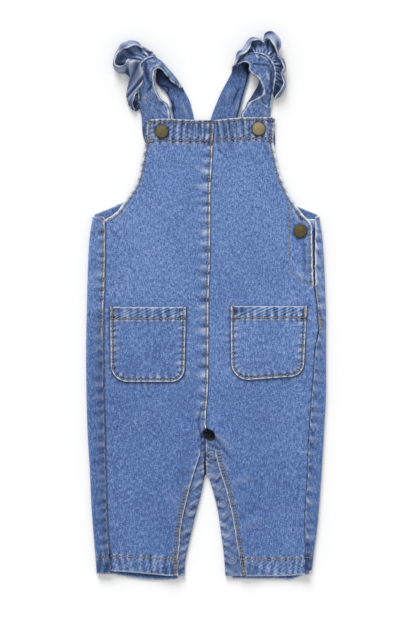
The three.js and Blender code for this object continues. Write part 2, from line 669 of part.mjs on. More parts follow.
addPiece('back_right', backPanel(-1), DENIM);
addPiece('back_left', backPanel(1), DENIM);
addPiece('placket_right', placket(-1), DENIM);
addPiece('placket_left', placket(1), DENIM);
addPiece('side_underlap', sideUnderlap(), DENIM);
addPiece('front_right', frontPanel(-1), DENIM);
addPiece('front_left', frontPanel(1), DENIM);
addPiece('pocket_right', pocket(-1, POCKETS.right), DENIM);
addPiece('pocket_left', pocket(1, POCKETS.left), DENIM);
addPiece('strap_right', strap(STRAP_RIGHT, -1), DENIM);
addPiece('strap_left', strap(STRAP_LEFT, 1), DENIM);
addPiece('frill_right', frill(STRAP_RIGHT, FRILL_RIGHT, -1), DENIM);
addPiece('frill_left', frill(STRAP_LEFT, FRILL_LEFT, 1), DENIM);
SNAPS.forEach(snapCap);

// The origin lies under the middle of the garment's outline
const outline = new THREE.Box3().setFromObject(garment);
garment.position.set(-(outline.min.x + outline.max.x) / 2, -(outline.min.y + outline.max.y) / 2, 0);

export default garment;
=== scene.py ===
import json
import math

import bpy
import numpy as np
from bpy.props import FloatProperty, FloatVectorProperty, PointerProperty
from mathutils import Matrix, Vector
from mathutils.bvhtree import BVHTree
from mathutils.kdtree import KDTree

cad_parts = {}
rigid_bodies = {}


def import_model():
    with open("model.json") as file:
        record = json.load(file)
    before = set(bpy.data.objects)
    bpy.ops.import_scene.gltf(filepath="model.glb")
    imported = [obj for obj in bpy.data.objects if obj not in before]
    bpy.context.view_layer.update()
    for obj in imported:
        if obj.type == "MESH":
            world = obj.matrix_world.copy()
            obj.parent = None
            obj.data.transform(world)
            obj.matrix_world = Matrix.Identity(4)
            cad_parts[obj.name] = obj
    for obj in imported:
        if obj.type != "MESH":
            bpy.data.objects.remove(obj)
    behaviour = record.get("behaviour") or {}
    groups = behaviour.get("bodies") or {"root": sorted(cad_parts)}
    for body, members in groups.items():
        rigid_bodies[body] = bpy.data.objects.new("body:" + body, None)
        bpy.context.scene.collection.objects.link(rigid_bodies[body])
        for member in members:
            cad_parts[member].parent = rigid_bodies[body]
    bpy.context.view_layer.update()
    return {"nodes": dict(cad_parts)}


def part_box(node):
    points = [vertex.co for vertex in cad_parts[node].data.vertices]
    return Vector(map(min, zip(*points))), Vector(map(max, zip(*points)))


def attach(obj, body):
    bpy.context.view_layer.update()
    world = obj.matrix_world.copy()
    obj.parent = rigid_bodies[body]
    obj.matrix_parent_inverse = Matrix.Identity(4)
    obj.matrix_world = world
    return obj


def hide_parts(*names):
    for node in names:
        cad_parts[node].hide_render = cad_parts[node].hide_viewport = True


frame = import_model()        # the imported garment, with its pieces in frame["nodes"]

bl_info = {
    "name": "Kids Dungarees",
    "version": (1, 0, 0),
    "blender": (4, 5, 0),
    "location": "3D View > Sidebar > Dungarees",
    "description": "Washed denim dungarees laid flat, with frilled straps and brass snaps",
    "category": "Add Mesh",
}

MM = 0.001
BODY = "root"
SIDES = {"right": -1, "left": 1}

# Millimetres of garment to one pixel of the photo, and the photo's frame
PHOTO_WIDTH, PHOTO_HEIGHT = 416, 624
PHOTO_MIDDLE = (208, 312)
MM_PER_PIXEL = 1.04
GARMENT_MIDDLE = (206, 305.5)
SHIFT = -0.34

# Sizes of the turned edges and of the pockets' corners, in mm
BIB_BAND = 22.5
LEG_HEM = 17.5
POCKET_BAND = 12
POCKET_CORNER = 12.5

# Heights from the frame's middle, in mm: where stitches and open edges begin and end
ARMPIT = 88
CROTCH = -127
INSEAM_OPEN = -150
INSEAM_STITCH_TOP = {"right": -189, "left": -147}
SIDE_OPEN_FOOT = {"right": -34, "left": 22}
SIDE_STITCH_TOP = {"right": 84, "left": 17}
SIDE_STITCH_FOOT = {"right": -32, "left": -24}

# Rows lie closer together round this height, in mm, for the creases of the crotch
FINE_ROWS_MIDDLE = -140
FINE_ROWS_REACH = 26

# The centre seam leans over to the wearer's left as it rises through the bib, in mm
BIB_LEAN = 1.8
BIB_LEAN_FOOT = 116
BIB_LEAN_TOP = 158

# The back's side band ends at this height, and its flat part is this wide, in mm
BAND_TOP = 92
BACK_WIDTH = 113.8

# Seed of each piece's uneven waves; the piece adds a step for each of its seams
SEEDS = {
    "front": {"right": 10, "left": 40},
    "back": {"right": 70, "left": 90},
    "placket": {"right": 110, "left": 130},
    "pocket": {"right": 150, "left": 170},
    "strap": {"right": 200, "left": 220},
    "frill": {"right": 240, "left": 260},
}

# Points of the straps' and frills' grids
STRAP_ROWS = 280
STRAP_NECK = 31
FRILL_ROWS = 300
FRILL_COLUMNS = 46


class DungareesCloth(bpy.types.PropertyGroup):
    wall: FloatProperty(
        name="Wall", description="Thickness of the denim", default=1.5 * MM, unit="LENGTH")
    pucker: FloatProperty(
        name="Pucker", description="Height of the puckers along the seams", default=0.65 * MM,
        unit="LENGTH")
    middle: FloatVectorProperty(
        name="Denim", description="Middle colour of the washed denim", subtype="COLOR",
        default=(0.112, 0.205, 0.455))
    pale: FloatVectorProperty(
        name="Pale threads", description="Colour of the washed-out threads", subtype="COLOR",
        default=(0.27, 0.385, 0.64))
    dark: FloatVectorProperty(
        name="Dark threads", description="Colour of the threads that kept their dye", subtype="COLOR",
        default=(0.045, 0.092, 0.245))
    # Pale of abraded edges, and of highlights painted on crests and ridges
    worn: FloatVectorProperty(
        name="Worn edge and highlight", description="Colour of the abraded edges and painted highlights", subtype="COLOR",
        default=(0.66, 0.71, 0.78))
    # Dark of the darker tone, and of shade painted into troughs, grooves, seams and gaps
    deep: FloatVectorProperty(
        name="Deep folds and shade", description="Colour of the unfaded folds and painted shade", subtype="COLOR",
        default=(0.016, 0.034, 0.105))


class DungareesThread(bpy.types.PropertyGroup):
    length: FloatProperty(
        name="Stitch", description="Length of one topstitch", default=2.5 * MM, unit="LENGTH")
    gap: FloatProperty(
        name="Gap", description="Gap between two topstitches", default=0.7 * MM, unit="LENGTH")
    radius: FloatProperty(
        name="Thread", description="Half the thickness of the thread", default=0.36 * MM, unit="LENGTH")
    colour: FloatVectorProperty(
        name="Colour", description="Colour of the tan thread", subtype="COLOR",
        default=(0.285, 0.228, 0.15))


class DungareesSnaps(bpy.types.PropertyGroup):
    brass: FloatVectorProperty(
        name="Brass", description="Colour of the aged brass", subtype="COLOR",
        default=(0.37, 0.305, 0.18))


class DungareesStage(bpy.types.PropertyGroup):
    lens: FloatProperty(name="Lens", description="Focal length in mm", default=120)
    key: FloatProperty(
        name="Key light", description="Strength of the low light from the head end", default=2.7)
    fill: FloatProperty(name="Fill", description="Strength of the surroundings", default=0.68)


# Solids of the frame, measured for the finer shells

class Solid:
    """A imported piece, cut by planes and rays to find its edges and heights."""

    def __init__(self, node):
        mesh = frame["nodes"][node].data
        mesh.calc_loop_triangles()
        points = np.empty(len(mesh.vertices) * 3)
        mesh.vertices.foreach_get("co", points)
        points = points.reshape(-1, 3)
        faces = np.empty(len(mesh.loop_triangles) * 3, int)
        mesh.loop_triangles.foreach_get("vertices", faces)
        faces = faces.reshape(-1, 3)
        self.corners = points[faces]
        self.low, self.high = points.min(0), points.max(0)
        self.tree = BVHTree.FromPolygons(points.tolist(), faces.tolist())

    def cut(self, axis, place):
        """Points where the plane at a place along an axis crosses the edges."""
        found = []
        for a, b in ((0, 1), (1, 2), (2, 0)):
            p, q = self.corners[:, a], self.corners[:, b]
            before, after = p[:, axis] - place - 1e-8, q[:, axis] - place - 1e-8
            hit = before * after < 0
            share = before[hit] / (before[hit] - after[hit])
            found.append(p[hit] + (q[hit] - p[hit]) * share[:, None])
        return np.concatenate(found)

    def top(self, x, y):
        """Height of the upper surface over a point, or of the nearest edge."""
        hit = self.tree.ray_cast(Vector((x, y, 0.1)), Vector((0, 0, -1)))[0]
        if hit is None:
            hit = self.tree.find_nearest(Vector((x, y, self.high[2])))[0]
        return hit.z

    def tops(self, xs, ys):
        """Heights of the upper surface over a grid of places."""
        flat = [self.top(x, y) for x, y in zip(xs.ravel(), ys.ravel())]
        return np.array(flat).reshape(xs.shape)


# Small helpers on arrays

def smooth(low, high, value):
    """A soft step from 0 at low to 1 at high."""
    t = np.clip((value - low) / (high - low), 0, 1)
    return t * t * (3 - 2 * t)


def bell(value, width, middle=0):
    """1 at the middle, falling smoothly to 0 over the width on both sides."""
    return np.exp(-((value - middle) / width) ** 2)


def soften(grid, passes):
    """A grid of heights with its facets rubbed down."""
    for _ in range(passes):
        padded = np.pad(grid, 1, mode="edge")
        grid = (padded[:-2, 1:-1] + padded[2:, 1:-1] + padded[1:-1, :-2] + padded[1:-1, 2:]
                + 4 * grid) / 8
    return grid


def lengths(line):
    """How far along a line each of its points lies."""
    steps = np.linalg.norm(np.diff(line, axis=0), axis=1)
    return np.concatenate([[0], np.cumsum(steps)])


def even_line(line, step):
    """A line's points at even steps along it."""
    run = lengths(line)
    count = max(2, int(run[-1] / step) + 1)
    places = np.linspace(0, run[-1], count)
    return np.stack([np.interp(places, run, line[:, k]) for k in range(line.shape[1])], 1)


def uneven_wave(place, spacing, seed):
    """A wave from -1 to 1 whose crests differ in height and spacing."""
    rng = np.random.default_rng(seed)
    count = int(abs(place).max() / spacing * 3) + 8
    knots = np.cumsum(spacing / 2 * rng.uniform(0.6, 1.4, count)) - spacing
    heights = rng.uniform(0.3, 1, count) * np.where(np.arange(count) % 2, 1, -1)
    k = np.clip(np.searchsorted(knots, place) - 1, 0, count - 2)
    f = np.clip((place - knots[k]) / (knots[k + 1] - knots[k]), 0, 1)
    f = 0.5 - 0.5 * np.cos(math.pi * f)
    return heights[k] * (1 - f) + heights[k + 1] * f


def from_line(points, line):
    """Distance of each point from a line, and how far along the line its nearest point is."""
    fine = even_line(line, 0.6 * MM)
    run = lengths(fine)
    tree = KDTree(len(fine))
    for i, p in enumerate(fine):
        tree.insert(Vector((p[0], p[1], 0)), i)
    tree.balance()
    flat = points.reshape(-1, points.shape[-1])
    near = [tree.find(Vector((p[0], p[1], 0)))[1:] for p in flat]
    index = np.array([n[0] for n in near]).reshape(points.shape[:-1])
    apart = np.array([n[1] for n in near]).reshape(points.shape[:-1])
    return apart, run[index]


class Relief:
    """Heights and paint that build up over a cloth grid from its seams and creases."""

    def __init__(self, points):
        self.points = points
        self.rise = np.zeros(points.shape[:2])
        self.worn = np.zeros(points.shape[:2])
        self.deep = np.zeros(points.shape[:2])
        self.void = np.zeros(points.shape[:2])

    def paint(self):
        """Wear and painted highlight from 0 to 1, and darkness with its painted shade from 0 to 1, or
        up to 2 where no light gets in.
        """
        void = np.clip(self.void, 0, 1)
        return np.clip(self.worn, 0, 1) * (1 - void), np.clip(self.deep, 0, 1) * (1 - void) + 2 * void

    def edge(self, line, reach=1.2 * MM, strength=0.95, patchy=0.25):
        """A pale abraded edge along a line."""
        apart, run = from_line(self.points, line)
        patch = 1 - patchy + patchy * uneven_wave(run, 8 * MM, 5)
        self.worn += strength * patch * bell(apart, reach)

    def shadow(self, line, reach=0.8 * MM, strength=0.8):
        """A painted shadow line along a seam or an edge."""
        apart, _ = from_line(self.points, line)
        self.deep += strength * bell(apart, reach)

    def groove(self, line, strength=0.7, seed=3):
        """The groove of a stitch line, painted with shade, and the small spots of its holes beside it:
        painted shade in the holes, paler between them.
        """
        apart, run = from_line(self.points, line)
        spots = uneven_wave(run, 3.2 * MM, seed)
        fade = bell(apart, 1.5 * MM)
        self.rise -= 0.25 * MM * bell(apart, MM)
        self.deep += strength * bell(apart, 0.8 * MM)
        self.deep += 0.7 * strength * np.clip(spots, 0, 1) * fade
        self.worn += 0.5 * strength * np.clip(-spots, 0, 1) * smooth(0.7 * MM, 1.2 * MM, apart) * fade

    def pucker(self, line, height, seed, spacing=9 * MM, reach=6 * MM, start=0.8 * MM, slant=0.0,
               paint=1.0):
        """Uneven puckers that a line of stitches draws in beside it, paler on their crests and painted
        with shade in their troughs.
        """
        apart, run = from_line(self.points, line)
        wave = uneven_wave(run + slant * apart, spacing, seed)
        small = uneven_wave(run - 0.4 * slant * apart, spacing * 0.45, seed + 7)
        length = reach * (0.75 + 0.5 * np.abs(uneven_wave(run, spacing * 1.7, seed + 1)))
        fade = bell(apart, length) * smooth(0, start, apart)
        close = bell(apart, 0.45 * length) * smooth(0, start, apart)
        mixed = 0.8 * wave * fade + 0.45 * small * close
        self.rise += height * mixed
        self.shade(mixed, paint * 0.6, paint * 0.85)

    def band(self, low_line, high_line, height, seed, spacing=8.5 * MM, paint=1.0, slant=0.3):
        """Roping between two lines of a turned hem, paler on its crests and painted with shade in its
        troughs.
        """
        low, run = from_line(self.points, low_line)
        high, _ = from_line(self.points, high_line)
        depth = low + high
        usual = np.median(depth[depth < 1.3 * depth.min()])
        share = np.clip(low / np.maximum(depth, 1e-6), 0, 1)
        inside = smooth(0.0, 0.1, share) * smooth(1.0, 0.9, share) * smooth(1.5, 1.15, depth / usual)
        wave = uneven_wave(run + slant * (high + 1.5 * MM * np.sin(high / (3 * MM))), spacing, seed)
        small = uneven_wave(run + 0.8 * slant * low, spacing * 0.42, seed + 2)
        blots = uneven_wave(0.7 * run - 1.6 * high, spacing * 0.55, seed + 4)
        mixed = (0.5 * wave + 0.3 * small + 0.5 * blots) * inside
        self.rise += height * mixed
        self.shade(mixed, paint * 0.4, paint * 0.85)

    def shade(self, wave, worn, deep):
        """Paler crests, from wear and painted highlight, and painted shade in a wave's troughs."""
        self.worn += worn * np.clip(wave, 0, 1)
        self.deep += deep * np.clip(-wave, 0, 1)

    def hole(self, middle, reach):
        """Painted shade of a deep place that no light gets into, with its middle and reaches in mm."""
        across = (self.points[..., 0] / MM - middle[0]) / reach[0]
        along = (self.points[..., 1] / MM - middle[1]) / reach[1]
        self.void += smooth(1.25, 0.75, np.hypot(across, along))

    def crease(self, start, end, width, rise, paint=0.5):
        """One soft trough or ridge between two places, in mm, with a painted highlight on a ridge and
        painted shade in a trough.
        """
        a, b = np.array(start) * MM, np.array(end) * MM
        along = (b - a) / np.linalg.norm(b - a)
        offset = self.points[..., :2] - a
        run = offset @ along / np.linalg.norm(b - a)
        apart = offset @ np.array([-along[1], along[0]]) / (width * MM)
        ends = smooth(-0.08, 0.25, run) * smooth(1.08, 0.7, run)
        shape = np.exp(-apart ** 2) * ends
        self.rise += rise * MM * shape
        paint *= min(1, 2.5 / width) ** 2 * min(1, abs(rise) / 0.7)
        if rise > 0:
            self.worn += paint * 0.3 * shape
        else:
            self.deep += paint * 0.8 * shape


def shares_across(width, fine=0.5 * MM, coarse=1.6 * MM, edge=6.5 * MM, inner=6.5 * MM):
    """Places from 0 to 1 across a panel, close together by both edges and half so up to inner."""
    steps = np.concatenate([
        np.arange(0, edge, fine),
        np.arange(edge, inner, 0.9 * MM),
        np.linspace(inner, width - edge, int((width - edge - inner) / coarse)),
        width - np.arange(0, edge, fine)[::-1],
    ])
    return steps / width


def rows_between(low, high, places, fine=0.6 * MM, coarse=1.5 * MM, near=3.2 * MM):
    """Heights of a grid's rows, close together by the stitch lines and the crotch."""
    rows = [low]
    while rows[-1] < high:
        apart = min(abs(rows[-1] - p) for p in places)
        if abs(rows[-1] - FINE_ROWS_MIDDLE * MM) < FINE_ROWS_REACH * MM:
            step = 0.9 * MM
        else:
            step = fine if apart < near else coarse
        rows.append(rows[-1] + step)
    rows[-1] = high
    return np.array(rows)


def normals(grid, sign):
    """Unit normals of a grid of points, outwards on the side that sign gives."""
    across = np.gradient(grid, axis=1)
    up = np.gradient(grid, axis=0)
    out = np.cross(across, up) * sign
    return out / np.maximum(np.linalg.norm(out, axis=2, keepdims=True), 1e-12)


def grid_area(grid):
    """Area of a grid of points."""
    across = grid[:-1, 1:] - grid[:-1, :-1]
    up = grid[1:, :-1] - grid[:-1, :-1]
    return float(np.linalg.norm(np.cross(across, up), axis=2).sum())


def add_piece(name, points, faces, materials=()):
    """A smooth-shaded object from points and faces, in the scene."""
    mesh = bpy.data.meshes.new(name)
    mesh.from_pydata(points, [], faces)
    mesh.polygons.foreach_set("use_smooth", np.ones(len(faces), bool))
    for finish in materials:
        mesh.materials.append(finish)
    mesh.update()
    piece = bpy.data.objects.new(name, mesh)
    bpy.context.scene.collection.objects.link(piece)
    return piece


def paint_points(piece, label, values):
    """Keep one value a point on a piece, for its material to read."""
    layer = piece.data.attributes.new(label, "FLOAT", "POINT")
    layer.data.foreach_set("value", np.asarray(values, np.float32))


def shell(name, outer, sign, wall, relief, materials, inside=None):
    """A thin closed shell from a grid of outer points, with its wall to the inside.

    inside holds the wear and painted highlight, and the darkness and painted shade, of the inner
    surface, where they are its own.
    """
    outside = relief.paint()
    inside = inside or (0.4 * outside[0], 0.4 * outside[1])
    rows, columns = outer.shape[:2]
    inner = outer - normals(outer, sign) * wall
    outer[..., 2] = np.maximum(outer[..., 2], 0)
    inner[..., 2] = np.maximum(inner[..., 2], 0)
    points = np.concatenate([outer.reshape(-1, 3), inner.reshape(-1, 3)])
    a = (np.arange(rows - 1)[:, None] * columns + np.arange(columns - 1)[None]).ravel()
    half = rows * columns
    top = np.stack([a, a + 1, a + columns + 1, a + columns], 1)
    under = top[:, ::-1] + half
    rim = np.concatenate([
        np.arange(columns - 1),
        np.arange(rows - 1) * columns + columns - 1,
        half - 1 - np.arange(columns - 1),
        half - columns - np.arange(rows - 1) * columns,
    ])
    after = np.roll(rim, -1)
    wall_faces = np.stack([rim, rim + half, after + half, after], 1)
    if sign < 0:
        top, under, wall_faces = top[:, ::-1], under[:, ::-1], wall_faces[:, ::-1]
    faces = np.concatenate([top, under, wall_faces])
    piece = add_piece(name, points.tolist(), faces.tolist(), materials)
    mesh = piece.data
    slots = np.zeros(len(faces), int)
    slots[len(top):len(top) + len(under)] = min(1, len(materials) - 1)
    mesh.polygons.foreach_set("material_index", slots)
    for label, above, below in zip(("worn", "deep"), outside, inside):
        paint_points(piece, label, np.clip(np.concatenate([above.ravel(), below.ravel()]), 0, 2))
    uv = mesh.uv_layers.new(name="cloth")
    flat = points[:, :2]
    corner = np.empty(len(mesh.loops), int)
    mesh.loops.foreach_get("vertex_index", corner)
    uv.data.foreach_set("uv", flat[corner].astype(np.float32).ravel())
    mesh.update()
    return piece


def widest(grid, every=1):
    """Length of a grid's longest row, of every so many rows."""
    return max(lengths(row)[-1] for row in grid[::every])


def make_cloth(stands_for, grid, sign, wall, relief, materials, flat, inside=None):
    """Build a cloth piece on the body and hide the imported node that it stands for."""
    area = grid_area(grid)
    piece = shell(f"{stands_for}_denim", grid, sign, wall, relief, materials, inside)
    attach(piece, BODY)
    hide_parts(stands_for)


# Materials

class Socket:
    """One output of a shader node; arithmetic on it adds Math nodes."""

    def __init__(self, tree, out):
        self.tree = tree
        self.out = out

    def maths(self, operation, first, second):
        """Add a Math node for two values or sockets."""
        return node(self.tree, "ShaderNodeMath", {"operation": operation}, {0: first, 1: second})

    def __add__(self, other):
        return self.maths("ADD", self, other)

    def __radd__(self, other):
        return self.maths("ADD", other, self)

    def __sub__(self, other):
        return self.maths("SUBTRACT", self, other)

    def __rsub__(self, other):
        return self.maths("SUBTRACT", other, self)

    def __mul__(self, other):
        return self.maths("MULTIPLY", self, other)

    def __rmul__(self, other):
        return self.maths("MULTIPLY", other, self)


def node(tree, kind, settings=None, inputs=None, output=0):
    """Add a node with its settings and its sockets' values or links, and give one output."""
    made = tree.nodes.new(kind)
    for label, value in (settings or {}).items():
        if label == "stops":
            ramp = made.color_ramp
            while len(ramp.elements) < len(value):
                ramp.elements.new(0.5)
            for element, (place, colour) in zip(ramp.elements, value):
                element.position = place
                element.color = (*colour, 1)
        else:
            setattr(made, label, value)
    for label, value in (inputs or {}).items():
        if isinstance(value, Socket):
            tree.links.new(value.out, made.inputs[label])
        else:
            made.inputs[label].default_value = value
    return Socket(tree, made.outputs[output])


def mix(tree, factor, first, second):
    """Blend two colours by a factor."""
    return node(tree, "ShaderNodeMix", {"data_type": "RGBA", "clamp_factor": True},
                {0: factor, 6: first, 7: second}, 2)


def stretched(tree, place, scale):
    """A place scaled along each axis."""
    return node(tree, "ShaderNodeVectorMath", {"operation": "MULTIPLY"}, {0: place, 1: scale})


def speckle(tree, place, scale, detail=2.0):
    """Noise from 0 to 1, with its scale along each axis."""
    return node(tree, "ShaderNodeTexNoise", None,
                {"Vector": stretched(tree, place, scale), "Scale": 1.0, "Detail": detail,
                 "Roughness": 0.6})


# Colour of a place that no light gets into
UNLIT = (0.006, 0.008, 0.009, 1)


def new_material(name):
    """An empty material and its tree of nodes."""
    material = bpy.data.materials.new(name)
    material.use_nodes = True
    tree = material.node_tree
    tree.nodes.clear()
    return material, tree


def finish_material(tree, inputs, bump=None, strength=0.2, distance=0.3 * MM):
    """Join the shader to the output, with a bump where there is one."""
    shader = tree.nodes.new("ShaderNodeBsdfPrincipled")
    for label, value in inputs.items():
        if isinstance(value, Socket):
            tree.links.new(value.out, shader.inputs[label])
        else:
            shader.inputs[label].default_value = value
    if bump is not None:
        normal = node(tree, "ShaderNodeBump", None,
                      {"Strength": strength, "Distance": distance, "Height": bump})
        tree.links.new(normal.out, shader.inputs["Normal"])
    output = tree.nodes.new("ShaderNodeOutputMaterial")
    tree.links.new(shader.outputs[0], output.inputs[0])


def denim(name, cloth):
    """Washed twill: pale and dark threads down the grain, cross threads, mottling and wear, with
    painted highlight and painted shade, and the legs painted darker than the bib.
    """
    material, tree = new_material(name)
    place = node(tree, "ShaderNodeTexCoord", output=3)
    slubs = speckle(tree, place, (950, 260, 500), 3)
    fine = speckle(tree, place, (1700, 900, 900))
    cross = speckle(tree, place, (260, 1000, 500))
    mottle = speckle(tree, place, (300, 240, 240), 3)
    wash = speckle(tree, place, (15, 9, 15))
    twill = node(tree, "ShaderNodeTexWave", {"wave_type": "BANDS", "bands_direction": "X"},
                 {"Vector": stretched(tree, place, (620, 400, 620)), "Scale": 1.0, "Distortion": 1.2,
                  "Detail": 1.0}, 1)
    up = node(tree, "ShaderNodeSeparateXYZ", None, {"Vector": place}, 1)
    # Painted light: the legs darker than the bib
    painted_bib_light = node(tree, "ShaderNodeMapRange", {"interpolation_type": "SMOOTHSTEP"},
                 {"Value": up, "From Min": -0.12, "From Max": 0.03, "To Min": -0.12, "To Max": 0.0})
    tone = (0.45 + painted_bib_light + 1.7 * (slubs - 0.5) + 1.8 * (fine - 0.5) + 0.7 * (cross - 0.5)
            + 0.5 * (mottle - 0.5) + 0.4 * (wash - 0.5))
    stops = [(0.1, tuple(cloth.dark)), (0.5, tuple(cloth.middle)), (0.92, tuple(cloth.pale))]
    colour = node(tree, "ShaderNodeValToRGB", {"stops": stops}, {0: tone})
    worn = node(tree, "ShaderNodeAttribute", {"attribute_name": "worn"}, output=2)
    deep = node(tree, "ShaderNodeAttribute", {"attribute_name": "deep"}, output=2)
    # Mix in the pale of wear and painted highlight, then painted shade, then the unlit colour where the
    # darkness passes 1
    brightening = worn * (0.55 + 0.9 * fine)
    sunk = deep * (0.6 + 0.6 * mottle)
    colour = mix(tree, brightening, colour, (*cloth.worn, 1))
    colour = mix(tree, sunk, colour, (*cloth.deep, 1))
    colour = mix(tree, deep - 1, colour, UNLIT)
    finish_material(tree, {"Base Color": colour, "Roughness": 0.86, "Sheen Weight": 0.12,
                           "Sheen Roughness": 0.5, "Specular IOR Level": 0.25},
                    0.6 * slubs + 0.3 * cross + 0.35 * twill, 0.35, 0.35 * MM)
    return material


def wrong_side(cloth):
    """The inside of the cloth, where the undyed cross threads show."""
    material, tree = new_material("denim_inside")
    place = node(tree, "ShaderNodeTexCoord", output=3)
    weave = speckle(tree, place, (700, 500, 500), 3)
    colour = mix(tree, weave, (0.11, 0.165, 0.33, 1), (0.4, 0.465, 0.61, 1))
    worn = node(tree, "ShaderNodeAttribute", {"attribute_name": "worn"}, output=2)
    deep = node(tree, "ShaderNodeAttribute", {"attribute_name": "deep"}, output=2)
    colour = mix(tree, worn, colour, (*cloth.worn, 1))
    colour = mix(tree, deep, colour, (*cloth.deep, 1))
    finish_material(tree, {"Base Color": colour, "Roughness": 0.9}, weave, 0.3)
    return material


def thread_material(thread):
    """Tan sewing thread, faded in places, with its plies."""
    material, tree = new_material("tan_thread")
    place = node(tree, "ShaderNodeTexCoord", output=3)
    fade = speckle(tree, place, (90, 90, 90))
    ply = speckle(tree, place, (2600, 2600, 2600), 1)
    faded = tuple(0.75 * sum(thread.colour) / 3 + 0.25 * c for c in thread.colour)
    colour = mix(tree, 3 * fade - 0.9, (*thread.colour, 1), (*faded, 1))
    colour = mix(tree, 0.5 * ply, colour, (0.55, 0.47, 0.34, 1))
    finish_material(tree, {"Base Color": colour, "Roughness": 0.7}, ply, 0.3)
    return material


def brass_material(snaps):
    """Aged brass: dull with patina, brighter where a highlight is painted, with painted shade in the
    rim.
    """
    material, tree = new_material("aged_brass")
    place = node(tree, "ShaderNodeTexCoord", output=3)
    patina = speckle(tree, place, (380, 380, 380), 4)
    scuffs = speckle(tree, place, (1800, 700, 900))
    dull = (0.34 * snaps.brass[0], 0.335 * snaps.brass[1], 0.235 * snaps.brass[2])
    rim = node(tree, "ShaderNodeAttribute", {"attribute_name": "deep"}, output=2)
    brightening = node(tree, "ShaderNodeAttribute", {"attribute_name": "worn"}, output=2)
    # Brighter where a highlight is painted, then painted shade in the rim
    colour = mix(tree, brightening + 0.8 * (patina - 0.5), (*dull, 1), (*snaps.brass, 1))
    colour = mix(tree, rim, colour, (0.035, 0.028, 0.018, 1))
    finish_material(tree, {"Base Color": colour, "Metallic": 0.9,
                           "Roughness": 0.42 + 0.25 * patina + 0.1 * scuffs}, scuffs, 0.15, 0.1 * MM)
    return material


def floor_material():
    """Plain pale paper."""
    material, tree = new_material("paper_floor")
    place = node(tree, "ShaderNodeTexCoord", output=3)
    grain = speckle(tree, place, (60, 60, 60), 3)
    colour = mix(tree, grain, (0.905, 0.905, 0.905, 1), (0.925, 0.925, 0.925, 1))
    finish_material(tree, {"Base Color": colour, "Roughness": 0.9})
    return material


def material(name, make, *args):
    """A material by name, made once."""
    return bpy.data.materials.get(name) or make(*args)


def cloth_materials(scene):
    """The denim's right side and its inside."""
    cloth = scene.dungarees_cloth
    return [material("denim_right_side", denim, "denim_right_side", cloth),
            material("denim_inside", wrong_side, cloth)]


# Cloth pieces

def front_grid(side):
    """Outer points of one front, as rows from hem to bib, and the rows' heights."""
    sign = SIDES[side]
    solid = Solid(f"front_{side}")
    low, high = solid.low[1], solid.high[1]
    heights = rows_between(low, high, (low, low + LEG_HEM * MM, high - BIB_BAND * MM, high - MM))
    rows = len(heights)
    edge_in, edge_out = np.empty(rows), np.empty(rows)
    for j, y in enumerate(heights):
        cut = np.sort(solid.cut(1, np.clip(y, low + 8 * MM, high - 4.5 * MM))[:, 0] * sign)
        edge_in[j] = cut[0] + sign * BIB_LEAN * MM * smooth(BIB_LEAN_FOOT * MM, BIB_LEAN_TOP * MM, y)
        edge_out[j] = cut[-1]
    share = shares_across(102 * MM, inner=27 * MM)
    x = sign * (edge_in[:, None] + (edge_out - edge_in)[:, None] * share)
    foot = np.clip(abs(x[0]), edge_in[0] + MM, edge_out[0] - MM)
    hem = np.array([solid.cut(0, sign * v)[:, 1].min() for v in foot])
    head = np.clip(x[-1] * sign, edge_in[-1] + 2.4 * MM, edge_out[-1] - MM)
    bib = np.array([solid.cut(0, sign * v)[:, 1].max() for v in head])
    y = np.repeat(heights[:, None], len(share), 1)
    y += (hem - low)[None] * (1 - smooth(low, low + 45 * MM, heights))[:, None]
    y += (bib - high)[None] * smooth(high - 34 * MM, high, heights)[:, None]
    z = soften(solid.tops(x, y), 5)
    return np.stack([x, y, z], 2), heights


def nearest_row(heights, y):
    """Number of the row whose height is nearest to y."""
    return int(np.argmin(abs(heights - y)))


